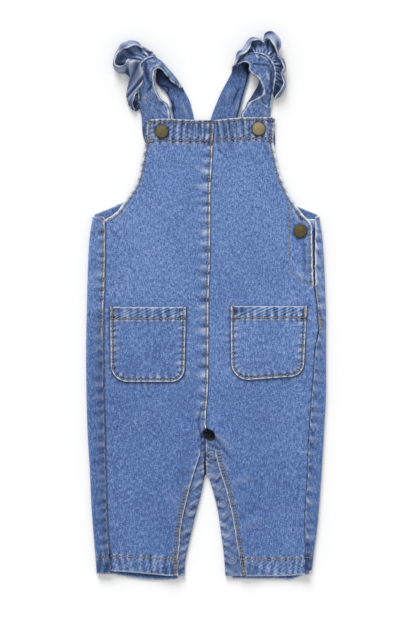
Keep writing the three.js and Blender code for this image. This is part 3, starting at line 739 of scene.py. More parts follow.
# Creases of each piece: start, end, half width and rise, in mm
CREASES = {
    "front_left": [
        ((9, -137.5), (28, -162), 1.3, -1.0),
        ((13, -133), (27, -152), 2.6, 0.3),
        ((16, -160), (24, -172), 1.2, 0.5),
        ((28, -186), (46, -176), 3.5, 0.4),
        ((33, -222), (56, -207), 4.0, -0.4),
        ((37, -231), (60, -221), 4.0, 0.4),
        ((98, 8), (76, -4), 6.0, 0.45),
        ((104, -35), (84, -22), 5.0, -0.35),
        ((101.5, 66), (102.5, 30), 1.6, -0.7),
        ((90, 100), (98, 84), 1.5, 0.7),
        ((93.5, 98), (101, 86), 1.5, -0.7),
        ((96.5, 96), (103.5, 88), 1.3, 0.6),
        ((93, 36), (101, 27), 1.6, 0.6),
        ((60, 120), (40, 60), 9.0, 0.25),
        ((45, -100), (95, -128), 8.0, 0.3),
        ((5, 169), (13, 162), 0.9, 0.8),
        ((10, 166), (17, 157), 1.1, -0.6),
        ((22, 170), (30, 158), 1.3, -0.4),
        ((63, 170), (74, 152), 1.4, 0.5),
        ((58, 170), (70, 148), 1.3, -0.4),
    ],
    "front_right": [
        ((-4.6, -108), (-8.2, -121), 1.3, -0.7),
        ((-8.2, -118), (-5, -138), 1.3, -1.0),
        ((-14, -170), (-34, -184), 3.6, -0.4),
        ((-24, -208), (-44, -196), 4.0, 0.4),
        ((-28, -240), (-50, -226), 4.2, -0.4),
        ((-96, 40), (-78, 10), 6.0, 0.35),
        ((-98, -95), (-78, -112), 6.0, -0.35),
        ((-60, 118), (-36, 66), 9.0, 0.2),
        ((-40, -104), (-86, -126), 8.0, 0.3),
        ((-100, 80), (-88, 66), 2.2, -0.4),
        ((-56, 168), (-50, 152), 1.6, 0.4),
        ((-20, 169), (-16, 158), 1.3, -0.4),
    ],
    "back_left": [
        ((8, -114), (44, -132), 3.5, -0.6),
        ((9, -121), (34, -150), 3.5, -0.5),
        ((96, 52), (72, 24), 5.0, -0.6),
        ((18, 62), (62, 54), 5.5, -0.5),
        ((68, -64), (98, -92), 5.0, -0.6),
        ((34, -196), (74, -180), 4.5, -0.5),
        ((24, -20), (60, -4), 6.0, -0.4),
    ],
    "back_right": [
        ((-8, -112), (-40, -124), 3.5, -0.6),
        ((-10, -120), (-38, -144), 3.5, -0.5),
        ((-98, 58), (-70, 36), 5.0, -0.6),
        ((-22, 70), (-58, 56), 5.5, -0.5),
        ((-72, -52), (-96, -84), 5.0, -0.6),
        ((-30, -188), (-66, -178), 4.5, -0.5),
        ((-80, -120), (-50, -108), 6.0, -0.4),
    ],
}

# Line of stitches that holds the side opening's facing, in mm
SIDE_FACING = [(85, 104), (85.8, 79), (85.8, 54), (87, 38), (92.6, 31), (100, 25.4), (108, 22.4)]

# Rows of stitches of each piece, on top and underneath, kept for the stitching
SEWN = {}
SEWN_UNDER = {}


def beside(line, distance):
    """A line moved sideways, in the plane, to the left of its run when distance is positive."""
    line = even_line(np.asarray(line)[:, :2], 1.5 * MM)
    way = np.gradient(line, axis=0)
    way /= np.maximum(np.linalg.norm(way, axis=1, keepdims=True), 1e-9)
    return line + distance * np.stack([-way[:, 1], way[:, 0]], 1)


def build_front(side, scene):
    """One front: a bib half and a leg in one."""
    cloth = scene.dungarees_cloth
    sign = SIDES[side]
    grid, heights = front_grid(side)
    relief = Relief(grid)
    crotch = nearest_row(heights, CROTCH * MM)
    arm = nearest_row(heights, ARMPIT * MM)
    centre, inseam = grid[crotch:, 0], grid[:crotch, 0]
    seam, armhole = grid[:arm, -1], grid[arm:, -1]
    hem, bib = grid[0], grid[-1]
    hem_stitch = grid[nearest_row(heights, heights[0] + LEG_HEM * MM)]
    bib_stitch = grid[nearest_row(heights, heights[-1] - BIB_BAND * MM)]
    bib_edge = grid[nearest_row(heights, heights[-1] - 2.7 * MM)]
    inward = sign * MM
    sewn_inseam = inseam[inseam[:, 1] < INSEAM_STITCH_TOP[side] * MM]
    runs = [hem_stitch, bib_stitch, bib_edge, beside(armhole, 3.2 * inward),
            beside(sewn_inseam, -1.9 * inward), beside(sewn_inseam, -4.1 * inward)]
    seed = SEEDS["front"][side]
    height = cloth.pucker
    if side == "right":
        runs.append(beside(centre, 2.1 * MM))
        relief.pucker(beside(centre, 2.1 * MM), height * 1.3, seed=seed, spacing=13 * MM,
                      reach=7.8 * MM, paint=1.3)
    else:
        opening = nearest_row(heights, SIDE_OPEN_FOOT["left"] * MM)
        runs.append(beside(grid[opening:arm + 3, -1], 2.6 * inward))
        runs.append(np.array(SIDE_FACING) * MM)
        relief.pucker(grid[opening:arm, -1], height, seed=seed + 9, spacing=6 * MM, reach=4 * MM)
    # Painted shadow in a ring round each snap cap, over a shallow dip in the cloth
    for cap in (f"snap_cap_bib_{side}", "snap_cap_side_left"):
        low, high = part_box(cap)
        apart = np.hypot(grid[..., 0] - (low.x + high.x) / 2, grid[..., 1] - (low.y + high.y) / 2)
        relief.deep += 0.8 * bell(apart, 0.8 * MM, 7.4 * MM)
        relief.rise -= 0.2 * MM * bell(apart, 1.2 * MM, 7.6 * MM)
    relief.pucker(seam, height * 0.5, seed=seed + 1, spacing=11 * MM, reach=4.6 * MM, slant=0.3,
                  paint=0.3)
    relief.pucker(armhole, height * 0.7, seed=seed + 2, spacing=8 * MM, reach=4.5 * MM, slant=-0.3)
    relief.pucker(inseam, height * 0.5, seed=seed + 3, spacing=9 * MM, reach=6 * MM, slant=0.6,
                  paint=0.55)
    relief.pucker(hem_stitch, height * 1.1, seed=seed + 4, spacing=7 * MM, reach=3.6 * MM, slant=0.4)
    relief.pucker(bib_stitch, height * 0.9, seed=seed + 5, spacing=7 * MM, reach=4 * MM, slant=0.4)
    relief.pucker(bib_edge, height * 1.2, seed=seed + 8, spacing=5.5 * MM, reach=4.2 * MM)
    relief.band(hem, hem_stitch, height * 1.2, seed=seed + 6, spacing=7.5 * MM, paint=1.25)
    relief.band(bib, bib_stitch, height * 1.4, seed=seed + 7, spacing=6.5 * MM, paint=2.0, slant=0.06)
    relief.deep += 0.15 * smooth(heights[-1] - 24 * MM, heights[-1] - 21 * MM, grid[..., 1])
    by_crotch = bell(np.hypot(grid[..., 0], grid[..., 1] + 129 * MM), 18 * MM)
    relief.worn *= 1 - 0.8 * by_crotch
    if side == "right":
        relief.edge(centre, reach=1.1 * MM, strength=1.15, patchy=0.1)
        relief.shadow(beside(seam, 0.9 * inward), reach=0.8 * MM, strength=1.0)
    else:
        relief.shadow(centre, reach=0.9 * MM, strength=1.1)
        relief.shadow(grid[:opening, -1], reach=0.8 * MM, strength=0.9)
        relief.edge(grid[opening:arm + 3, -1], reach=1.4 * MM, strength=1.2, patchy=0.1)
    relief.edge(hem, reach=1.2 * MM, strength=1.0)
    relief.edge(bib, reach=1.3 * MM, strength=1.2, patchy=0.1)
    relief.edge(armhole, reach=2.1 * MM, strength=1.2, patchy=0.1)
    relief.edge(inseam[inseam[:, 1] < INSEAM_OPEN * MM], reach=0.9 * MM, strength=0.95)
    relief.shadow(inseam[inseam[:, 1] > INSEAM_OPEN * MM], reach=0.9 * MM, strength=0.8)
    for k, run in enumerate(runs):
        relief.groove(run, strength=0.35 if side == "left" and k == len(runs) - 1 else 0.85,
                      seed=seed + k)
    for start, end, width, rise in CREASES[f"front_{side}"]:
        relief.crease(start, end, width, rise, paint=0.9)
    pocket, _ = pocket_grid(side)
    outline = np.concatenate([pocket[::-1, 0], pocket[0], pocket[:, -1]])
    relief.shadow(beside(outline, -0.8 * MM), reach=1.2 * MM, strength=0.75)
    relief.pucker(outline, height * 0.5, seed=seed + 15, spacing=8 * MM, reach=5 * MM, start=3 * MM,
                  paint=0.6)
    grid[..., 2] += relief.rise
    SEWN[f"front_{side}"] = runs
    make_cloth(f"front_{side}", grid, sign, cloth.wall, relief, cloth_materials(scene),
               flat=(widest(grid, 20), lengths(grid[:, 2])[-1] * 1.01))


def rolled_grid(points, radius, turn_steps):
    """Rows of a cloth that lies flat, rolls up round an edge and comes back on top.

    points holds, for each row, its height and the places of foot, edge and lip, all signed across.
    """
    rows = []
    for y, foot, edge, lip in points:
        way = math.copysign(1, edge - foot)
        centre = edge - way * radius
        flat = np.linspace(foot, centre, 26)[:-1]
        turns = np.linspace(0, math.pi, turn_steps)
        back = np.linspace(centre, lip, 14)[1:]
        x = np.concatenate([flat, centre + way * radius * np.sin(turns), back])
        z = np.concatenate([np.zeros(25), radius * (1 - np.cos(turns)), np.full(13, 2 * radius)])
        rows.append(np.stack([x, np.full(len(x), y), z], 1))
    return np.array(rows)


# How far each back's hem hangs below the front's in the middle, and by the side edge, in mm
HEM_SAG = {"right": 2.4, "left": 0}
SIDE_DROP = {"right": 0, "left": 3.4}


def back_grid(side):
    """Outer points of one back: flat underneath, round the side edge and back to the seam on top."""
    sign = SIDES[side]
    solid = Solid(f"back_{side}")
    radius = solid.high[2] / 2
    lip_top = BAND_TOP * MM
    wide = BACK_WIDTH * MM
    hem_line = solid.cut(1, solid.low[1] + 9 * MM)[:, 0] * sign
    share = np.concatenate([
        np.linspace(0, 0.08, 11),
        np.linspace(0.1, 0.84, 28),
        np.linspace(0.86, 1, 12),
    ])
    turns = np.linspace(0, math.pi, 10)[1:]
    lips = np.linspace(0, 1, 19)[1:]
    foot_y, head_y = [], []
    for s in share:
        x = min(max(s * wide, 0.6 * MM), wide)
        head_y.append(solid.cut(0, sign * x)[:, 1].max())
        x = hem_line.min() + s * (hem_line.max() - radius - hem_line.min())
        cut = solid.cut(0, sign * max(x, hem_line.min() + 0.5 * MM))
        foot_y.append(cut[cut[:, 2] < 2 * MM][:, 1].min())
    cut = solid.cut(0, sign * (hem_line.max() - radius - 2 * MM))
    lip_foot = cut[cut[:, 2] > 3 * MM][:, 1].min()
    levels = {}

    def level(y):
        """Foot, side edge and lip of the back at a height, all signed across."""
        key = round(float(np.clip(y, solid.low[1] + 8 * MM, solid.high[1] - MM)) / MM)
        if key not in levels:
            cut = solid.cut(1, key * MM + 0.1 * MM)
            out = cut[:, 0] * sign
            high = out[cut[:, 2] > 1.4 * radius]
            lip = high.min() if len(high) else out.max()
            levels[key] = (out[cut[:, 2] < 2 * MM].min(), out.max(), lip)
        return levels[key]

    edge_top = level(lip_top - 4 * MM)[1]
    places = rows_between(lip_foot, lip_top, (lip_foot + LEG_HEM * MM, lip_top))
    climbs = (places - lip_foot) / (lip_top - lip_foot)
    grid = np.zeros((len(climbs), len(share) + len(turns) + len(lips), 3))
    for j, f in enumerate(climbs):
        for i, s in enumerate(share):
            y = foot_y[i] + (head_y[i] - foot_y[i]) * f
            y -= HEM_SAG[side] * MM * math.sin(math.pi * min(1, s * 1.05)) * float(smooth(0.12, 0, f))
            y -= SIDE_DROP[side] * MM * float(smooth(0.55, 0.9, s) * smooth(0.4, 0, f))
            foot, edge, _ = level(y)
            centre = (edge if y < lip_top else edge_top) - radius
            grid[j, i] = sign * (foot + (centre - foot) * s), y, 0
        y = lip_foot + (lip_top - lip_foot) * f - SIDE_DROP[side] * MM * float(smooth(0.4, 0, f))
        foot, edge, lip = level(min(y, lip_top - 3 * MM))
        centre = edge - radius
        for i, turn in enumerate(turns):
            k = len(share) + i
            grid[j, k] = sign * (centre + radius * math.sin(turn)), y, radius * (1 - math.cos(turn))
        for i, f_lip in enumerate(lips):
            k = len(share) + len(turns) + i
            grid[j, k] = sign * (centre + (lip - centre) * f_lip), y, 2 * radius
    return grid, radius, len(share), len(share) + len(turns)


# Middle and reaches of the dark gap between the legs at the crotch, in mm
CROTCH_HOLE = ((4.2, -132.2), (6.8, 9))


def underside_relief(side, grid, flat_end, cloth, seed):
    """Seams, puckers and creases of the back's outside, which the garment lies on."""
    sign = SIDES[side]
    heights = grid[:, -1, 1]
    crotch = nearest_row(heights, CROTCH * MM)
    centre, inseam = grid[crotch:, 0], grid[:crotch, 0]
    head, foot = grid[-1, :flat_end], grid[0, :flat_end]
    hem_stitch = grid[nearest_row(heights, heights[0] + LEG_HEM * MM), :flat_end]
    head_stitch = beside(head, -sign * 3.0 * MM)
    runs = [hem_stitch, head_stitch]
    under = Relief(grid)
    if side == "right":
        runs.append(beside(centre[:-4], -2.1 * MM))
        under.pucker(runs[-1], cloth.pucker, seed=seed + 20, spacing=12 * MM, reach=7 * MM, paint=1.2)
        under.edge(centre, reach=1.1 * MM, strength=0.9, patchy=0.2)
    else:
        under.shadow(centre, reach=1.2 * MM, strength=0.9)
    under.pucker(hem_stitch, cloth.pucker, seed=seed + 21, spacing=7 * MM, reach=4 * MM, slant=0.4)
    under.band(foot, hem_stitch, cloth.pucker, seed=seed + 22, spacing=8 * MM, paint=1.2)
    under.pucker(head_stitch, cloth.pucker, seed=seed + 23, spacing=8 * MM, reach=5 * MM)
    under.edge(foot, reach=1.1 * MM, strength=0.9)
    under.edge(head, reach=1.4 * MM, strength=1.0, patchy=0.1)
    under.edge(inseam, reach=1.1 * MM, strength=0.7, patchy=0.4)
    for k, run in enumerate(runs):
        under.groove(run, strength=0.8, seed=seed + 24 + k)
    for start, end, width, rise in CREASES[f"back_{side}"]:
        under.crease(start, end, width, rise, paint=1.0)
    SEWN_UNDER[f"back_{side}"] = runs
    return under


def build_back(side, scene):
    """The back: flat under the garment, rolled round the side edge to the side seam on top."""
    cloth = scene.dungarees_cloth
    sign = SIDES[side]
    grid, radius, flat_end, lip_start = back_grid(side)
    relief = Relief(grid)
    heights = grid[:, -1, 1]
    seam = grid[:, -1]
    top_row, hem_row = grid[-1, lip_start - 3:], grid[0, lip_start - 3:]
    hem_stitch = grid[nearest_row(heights, heights[0] + LEG_HEM * MM), lip_start - 2:]
    stitched_top = nearest_row(heights, SIDE_STITCH_TOP[side] * MM)
    stitched_foot = nearest_row(heights, SIDE_STITCH_FOOT[side] * MM)
    runs = [beside(grid[stitched_foot:stitched_top, -1], -sign * 1.8 * MM), hem_stitch]
    seed = SEEDS["back"][side]
    height = cloth.pucker
    relief.pucker(seam, height * 0.8, seed=seed, spacing=13 * MM, reach=8 * MM, slant=0.15, paint=0.7)
    near = bell(from_line(grid, seam)[0], 8 * MM)
    blots = (uneven_wave(grid[..., 1] + 2 * MM * np.sin(grid[..., 0] / (3 * MM)), 10 * MM, seed + 6)
             + uneven_wave(1.6 * grid[..., 0] + 0.7 * grid[..., 1], 8 * MM, seed + 8))
    relief.worn += 0.22 * near * np.clip(blots, 0, 1.5)
    relief.deep += 0.36 * near * np.clip(-blots - 0.15, 0, 1.5)
    relief.pucker(hem_stitch, height, seed=seed + 1, spacing=6 * MM, reach=4 * MM)
    relief.band(hem_row, hem_stitch, height, seed=seed + 4, spacing=7 * MM)
    open_foot = nearest_row(heights, SIDE_OPEN_FOOT[side] * MM)
    relief.edge(grid[open_foot:, -1], reach=1.3 * MM, strength=1.4, patchy=0.1)
    relief.edge(grid[:open_foot, -1], reach=1.0 * MM, strength=0.6 if side == "left" else 1.0,
                patchy=0.5)
    relief.edge(hem_row, reach=0.9 * MM, strength=0.9)
    relief.edge(top_row, reach=0.9 * MM, strength=0.9)
    for k, run in enumerate(runs):
        relief.groove(run, strength=0.7, seed=seed + k)
    # Slow undulations on top, paler on their crests and painted with shade in their troughs
    slow = uneven_wave(grid[..., 1], 34 * MM, seed + 2)
    relief.shade(slow, 0.07, 0.14)
    on_top = grid[..., 2] > 0.9 * radius
    relief.rise *= on_top
    relief.worn *= 0.9 * on_top
    relief.deep *= on_top
    rolled = (grid[..., 2] > 0.2 * radius) & (grid[..., 2] < 1.8 * radius)
    relief.worn += 0.07 * rolled
    flat = np.arange(grid.shape[1])[None] < flat_end
    head, foot = grid[-1, :flat_end], grid[0, :flat_end]
    inner = Relief(grid)
    inner.worn, inner.deep = relief.worn.copy(), relief.deep.copy()
    inner.worn += flat * 0.95 * bell(from_line(grid, head)[0], 0.9 * MM)
    # Painted shade on the inside of the back above the waist, where it lies under the front
    inner.deep += flat * 0.25 * smooth(40 * MM, 70 * MM, grid[..., 1])
    # Painted shade on the inside just above the hem, under the front's hem, and a pale worn hem edge
    from_hem = from_line(grid, foot)[0]
    by_hem = smooth(1.6 * MM, 3 * MM, from_hem) * smooth(-240 * MM, -250 * MM, grid[..., 1])
    inner.deep += flat * 0.8 * by_hem
    inner.worn += flat * 0.7 * bell(from_hem, 0.9 * MM)
    # Painted shade where no light gets in at the crotch
    inner.hole(*CROTCH_HOLE)
    under = underside_relief(side, grid, flat_end, cloth, seed)
    relief.worn += flat * under.worn
    relief.deep += flat * under.deep
    grid[..., 2] += relief.rise + np.where(on_top, 0.3 * MM * slow, 0)
    grid[..., 2] += flat * np.clip(-under.rise, 0, 0.6 * MM)
    SEWN[f"back_{side}"] = runs
    make_cloth(f"back_{side}", grid, -sign, cloth.wall, relief, cloth_materials(scene)[:1],
               flat=(widest(grid, 20) * 1.01, lengths(grid[:, 0])[-1] * 1.01),
               inside=inner.paint())


# Middles of the poppers whose rings press through the plackets, from the frame's middle, in mm
POPPERS = {
    "right": [(-16.6, -214)],
    "left": [(5.6, -156.8), (17.2, -204.6), (27.2, -263.6)],
}

# Creases of each placket: start, end, half width and rise, in mm
PLACKET_CREASES = {
    "right": [
        ((-6, -183), (-14, -193), 1.1, 0.8),
        ((-9, -201), (-18, -209), 1.1, 0.8),
        ((-10, -207), (-17, -214), 1.2, -0.5),
        ((-13, -228), (-24, -236), 1.3, 0.6),
        ((-16, -236), (-26, -246), 1.5, -0.5),
        ((-20, -252), (-30, -256), 1.3, 0.5),
    ],
    "left": [
        ((3, -160.5), (11, -161), 0.8, -0.7),
        ((10, -181), (16, -173), 1.0, 0.9),
        ((9, -185), (16, -179), 1.2, -0.6),
        ((10, -195), (18, -185), 1.0, 0.9),
        ((15, -221), (23, -213), 1.1, 0.8),
        ((17, -226), (25, -219), 1.3, -0.5),
        ((19, -243), (28, -235), 1.4, 0.6),
        ((22, -252), (31, -246), 1.3, -0.5),
    ],
}


def build_placket(side, scene):
    """Inner leg placket, rolled round the inner edge, with the rings of the poppers pressed through."""
    cloth = scene.dungarees_cloth
    sign = SIDES[side]
    solid = Solid(f"placket_{side}")
    radius = solid.high[2] / 2
    top = solid.high[1] + 3 * MM
    heights = np.linspace(solid.low[1], top, int((top - solid.low[1]) / MM))
    points = []
    for y in heights:
        cut = solid.cut(1, np.clip(y, solid.low[1] + MM, solid.high[1] - MM))
        out = cut[:, 0] * sign
        foot = out[cut[:, 2] < 1.3 * MM].max()
        lip = out[cut[:, 2] > 1.4 * radius].max()
        reach = (2.0 if side == "left" else 1.8) * MM * smooth(-179 * MM, -174 * MM, y)
        points.append((y, sign * foot, sign * (out.min() - reach), sign * lip))
    fine = []
    for row in rolled_grid(points, radius, 9):
        run = lengths(row)
        places = np.concatenate([np.linspace(0, 0.46, 16)[:-1], np.linspace(0.46, 1, 38)]) * run[-1]
        fine.append(np.stack([np.interp(places, run, row[:, k]) for k in range(3)], 1))
    grid = np.array(fine)
    relief = Relief(grid)
    on_top = smooth(0.7 * radius, 1.6 * radius, grid[..., 2])
    edge = np.array([row[np.argmin(abs(row[:, 0]))] for row in grid])
    seed = SEEDS["placket"][side]
    relief.pucker(edge, cloth.pucker, seed=seed, spacing=10 * MM, reach=8 * MM, slant=0.7)
    relief.pucker(grid[:, -1], cloth.pucker, seed=seed + 5, spacing=8 * MM, reach=8 * MM, slant=0.7)
    relief.worn += 0.22 * bell(abs(grid[..., 2] - radius), 0.8 * radius)
    # Each popper's ring stands up paler, with painted shade in the dip inside it and a painted shadow
    # round it
    for x, y in POPPERS[side]:
        apart = np.hypot(grid[..., 0] - x * MM, grid[..., 1] - y * MM)
        ring = bell(apart, 0.7 * MM, 4.5 * MM)
        knob = bell(apart, 0.7 * MM, 2.0 * MM)
        dip = bell(apart, 0.6 * MM, 3.2 * MM)
        relief.rise += 0.4 * MM * ring + 0.2 * MM * knob - 0.2 * MM * dip
        relief.worn += 0.2 * ring + 0.3 * knob
        relief.deep += 0.3 * dip + 0.35 * bell(apart, 0.8 * MM, 5.9 * MM)
    for start, end, width, rise in PLACKET_CREASES[side]:
        relief.crease(start, end, width, rise, paint=0.9)
    relief.edge(grid[0], reach=0.9 * MM, strength=0.8)
    relief.shadow(grid[:, -1], reach=1.4 * MM, strength=0.7)
    relief.deep += 0.26
    # In the gap between the plackets: a pale edge on the left one; on the right one painted shadow,
    # painted shade where no light gets in, and a pale edge
    top = grid[grid[:, 0, 1] > -180 * MM]
    gap = np.array([row[np.argmin(abs(row[:, 0]))] for row in top])
    if side == "left":
        relief.edge(gap, reach=1.0 * MM, strength=0.8)
    else:
        relief.shadow(gap, reach=2.2 * MM, strength=1.3)
        relief.hole((0.4, -166), (2.4, 11))
        relief.edge(np.array([(-2.5, -160), (-3, -168), (-2.6, -176)]) * MM, reach=0.7 * MM,
                    strength=0.8)
    # Painted shade where no light gets in at the crotch
    relief.hole((4.6, -134.8), (6.0, 5.6))
    grid[..., 2] += relief.rise * on_top
    relief.worn *= on_top
    relief.deep *= 0.3 + 0.7 * on_top
    inside = tuple(0.4 * paint + relief.void * k for k, paint in enumerate(relief.paint()))
    make_cloth(f"placket_{side}", grid, sign, cloth.wall, relief, cloth_materials(scene),
               flat=(widest(grid, 10) * 1.02, lengths(grid[:, 0])[-1] * 1.03),
               inside=inside)


# How each pocket's foot tapers and tilts, in mm: taper and corner on the low side of X, the same on
# the high side, and the rise of the high side's foot
POCKET_SHAPE = {"right": ((2.4, 16.5), (0.6, 13), 0), "left": ((1.8, 17), (2.6, 14), 3.2)}


def pocket_grid(side):
    """Outer points of a pocket, as rows from its rounded bottom to its top, and the rows' heights."""
    solid = Solid(f"pocket_{side}")
    low, high = solid.low[1], solid.high[1]
    heights = rows_between(low, high, (low, low + 3 * MM, high - POCKET_BAND * MM, high - 2 * MM),
                           coarse=1.1 * MM)
    heights = np.union1d(heights, low + 16 * MM * (1 - np.cos(np.linspace(0.08, 0.8, 9))))
    share = shares_across(79 * MM, coarse=1.2 * MM)
    *corners, tilt = POCKET_SHAPE[side]
    rows = []
    for y in heights:
        cut = solid.cut(1, np.clip(y, low + POCKET_CORNER * MM, high - 0.3 * MM))[:, 0]
        foot = (high - y) / (high - low)
        insets = []
        for taper, corner in corners:
            reach = max(corner - (y - low) / MM, 0)
            insets.append((corner - math.sqrt(max(corner**2 - reach**2, 0)) + taper * foot) * MM)
        x = cut.min() + insets[0] + (cut.max() - cut.min() - sum(insets)) * share
        rows.append(np.stack([x, y + tilt * MM * foot * share], 1))
    flat = np.array(rows)
    z = soften(solid.tops(flat[..., 0], flat[..., 1]), 4)
    return np.concatenate([flat, z[..., None]], 2), heights


def build_pocket(side, scene):
    """Patch pocket with a turned and roped top hem."""
    cloth = scene.dungarees_cloth
    grid, heights = pocket_grid(side)
    relief = Relief(grid)
    top = grid[-1]
    stitch = grid[nearest_row(heights, heights[-1] - POCKET_BAND * MM)]
    outline = np.concatenate([grid[::-1, 0], grid[0], grid[:, -1]])
    sewn_edge = beside(outline, 2.0 * MM)
    height = cloth.pucker
    seed = SEEDS["pocket"][side]
    relief.pucker(sewn_edge, height * 1.1, seed=seed, spacing=7 * MM, reach=5.5 * MM, slant=0.2,
                  start=1.2 * MM, paint=1.15)
    relief.pucker(stitch, height * 1.0, seed=seed + 1, spacing=6 * MM, reach=4.5 * MM)
    relief.band(top, stitch, height * 1.5, seed=seed + 2, spacing=9 * MM, paint=1.4, slant=0.1)
    relief.shadow(beside(outline, 2.6 * MM), reach=0.9 * MM, strength=0.55)
    # A pale line on the turned hem's ridge, with a painted shadow line under it
    ridge = grid[nearest_row(heights, heights[-1] - (POCKET_BAND + 1.7) * MM)]
    relief.edge(ridge, reach=0.7 * MM, strength=0.6, patchy=0.5)
    relief.shadow(grid[nearest_row(heights, heights[-1] - (POCKET_BAND + 3.2) * MM)], reach=0.8 * MM,
                  strength=0.4)
    relief.edge(outline, reach=0.9 * MM, strength=1.15, patchy=0.1)
    relief.edge(top, reach=0.9 * MM, strength=1.0, patchy=0.2)
    for k, run in enumerate((sewn_edge, stitch)):
        relief.groove(run, strength=0.8 - 0.3 * k, seed=seed + k)
    relief.rise *= smooth(0.3 * MM, 2.4 * MM, from_line(grid, outline)[0])
    middle = grid[:, grid.shape[1] // 2, 0].mean() / MM
    folds = [(-14, -45, 0.3), (10, -52, -0.25), (22, -38, 0.25), (-24, -60, -0.2)]
    for k, (dx, y, rise) in enumerate(folds):
        relief.crease((middle + dx, y), (middle + dx + 18 * (-1) ** k, y - 9), 6, rise, paint=0.3)
    grid[..., 2] += relief.rise
    SEWN[f"pocket_{side}"] = [sewn_edge, stitch]
    length = lengths(grid[:, grid.shape[1] // 2])[-1]
    make_cloth(f"pocket_{side}", grid, 1, cloth.wall, relief, cloth_materials(scene),
               flat=(widest(grid), length * 1.02))


# Rows of each strap from inside the bib, over the shoulder and down behind the bib, in the photo's
# pixels with heights in mm: outer edge, fold where the row has one, neck edge, tucked edge
STRAPS = {
    "right": [
        ((147, 147, 0.8), (168, 147, 0.8)), ((142.8, 134, 0.8), (168, 134, 0.8)),
        ((141.6, 117, 0.9), (169.3, 116.5, 0.9)), ((139.4, 106, 2.4), (166.3, 104.5, 2.2)),
        ((138.2, 95.5, 5), (159.8, 99, 4.6)), ((137.8, 84, 7.6), (154.9, 88.8, 7)),
        ((138.4, 73.5, 9.4), (153.4, 80.4, 8.8)), ((139.8, 66, 10.4), (153.4, 75.6, 9.2)),
        ((143.2, 61, 10.8), (154, 71.8, 9.4)), ((148.5, 57.8, 10.8), (156.5, 69, 9.4)),
        ((153.5, 56.8, 10), (158.6, 60.6, 10.2), (159.8, 68.4, 8.8)),
        ((156.5, 58.5, 7), (164, 65, 9), (163.6, 71.5, 8.2)),
        ((157.5, 62, 4.4), (169.4, 70.4, 7), (167.5, 76.6, 7.2)),
        ((157, 67, 2.4), (174.6, 76, 5.2), (171.8, 81.5, 6.2)),
        ((156.2, 74, 1.4), (178.8, 82.4, 3.4), (176.6, 85, 4.6)),
        ((156.8, 83, 1), (181.2, 87.6, 1.6), (182, 89.6, 2.2)),
        ((163, 90, 0.9), (186.4, 96.8, 0.9)), ((168.6, 98, 0.8), (189.4, 104, 0.8)),
        ((170.4, 108, 0.8), (191.6, 113, 0.8)), ((172.8, 119, 0.8), (193.3, 121, 0.8)),
        ((177, 133, 0.8), (198, 133, 0.8)), ((181.4, 149.2, 0.8), (204, 149.2, 0.8)),
    ],
    "left": [
        ((275, 145, 0.8), (247.8, 145, 0.8)), ((274.6, 132.4, 0.8), (246.9, 132.4, 0.8)),
        ((270.4, 116, 0.9), (242.3, 115.6, 0.9)), ((270.9, 107.5, 2), (246.1, 108.3, 1.8)),
        ((271.5, 101.5, 3.4), (260.6, 102.4, 2.8), (249.7, 103.3, 2.6), (247.8, 102.4, 1.4)),
        ((272, 98.5, 4.4), (263.4, 99.4, 3.8), (254.5, 100.4, 3.6), (249.6, 99.5, 1.4)),
        ((272.6, 95, 5.4), (266.4, 96.4, 5.2), (259.9, 98, 5), (251.6, 96.5, 1.8)),
        ((273.2, 90.8, 6.8), (268.8, 92.8, 6.8), (264.2, 95.2, 6.6), (253.6, 93, 2.4)),
        ((273.9, 87, 7.8), (269.4, 88.2, 7.9), (264.9, 89.5, 7.8), (256, 89.3, 3.2)),
        ((274.6, 83, 8.8), (268.8, 83.4, 9), (262.8, 84, 8.8), (258.4, 85.4, 4.6)),
        ((275.2, 79.5, 9.4), (267.8, 79.8, 9.4), (260.2, 80.2, 9.2), (259.4, 80.5, 7.6)),
        ((275.6, 76, 9.9), (257.6, 77.4, 9.4)), ((275.5, 72.4, 10.3), (255, 75.4, 9.5)),
        ((274.8, 68.4, 10.7), (252.6, 73.9, 9.6)), ((273.4, 64.6, 11), (250.6, 72.2, 9.6)),
        ((271.2, 60.8, 11.2), (249.2, 69.6, 9.6)), ((267.4, 56.9, 11.2), (249.6, 66.6, 9.6)),
        ((262.6, 54.4, 10.9), (248.8, 64.2, 9.6)), ((257.4, 53.4, 10.2), (246.6, 62.5, 9.2)),
        ((252.2, 53.7, 9), (248, 57.6, 9.4), (243.6, 62.2, 8.6)),
        ((249.4, 54.8, 6.6), (245.4, 58.2, 8.2), (240.6, 63.4, 7.6)),
        ((248, 58, 4.2), (242.2, 60.4, 6.8), (237.4, 64.8, 6.4)),
        ((248.6, 63, 2.4), (238.4, 63, 5), (234.9, 66.8, 4.8)),
        ((249.4, 68.5, 1.4), (234.6, 65.8, 3.2), (233.3, 69.6, 3)),
        ((249.6, 74, 1), (232.3, 73.6, 1.4)), ((248.8, 81, 0.8), (228.8, 80.4, 0.8)),
        ((246.6, 88, 0.8), (225, 87.4, 0.8)), ((244, 97, 0.8), (220.6, 97, 0.8)),
        ((239.6, 114, 0.8), (213.8, 114, 0.8)), ((235.2, 131, 0.8), (209.8, 131, 0.8)),
        ((229.5, 149.2, 0.8), (207.6, 149.2, 0.8)),
    ],
}

# The first row of each strap whose inside shows from above, and where the seam's puckers begin
STRAP_TURN = {"right": 12.5, "left": 21.5}
STRAP_SEAM_FOOT = 3.4

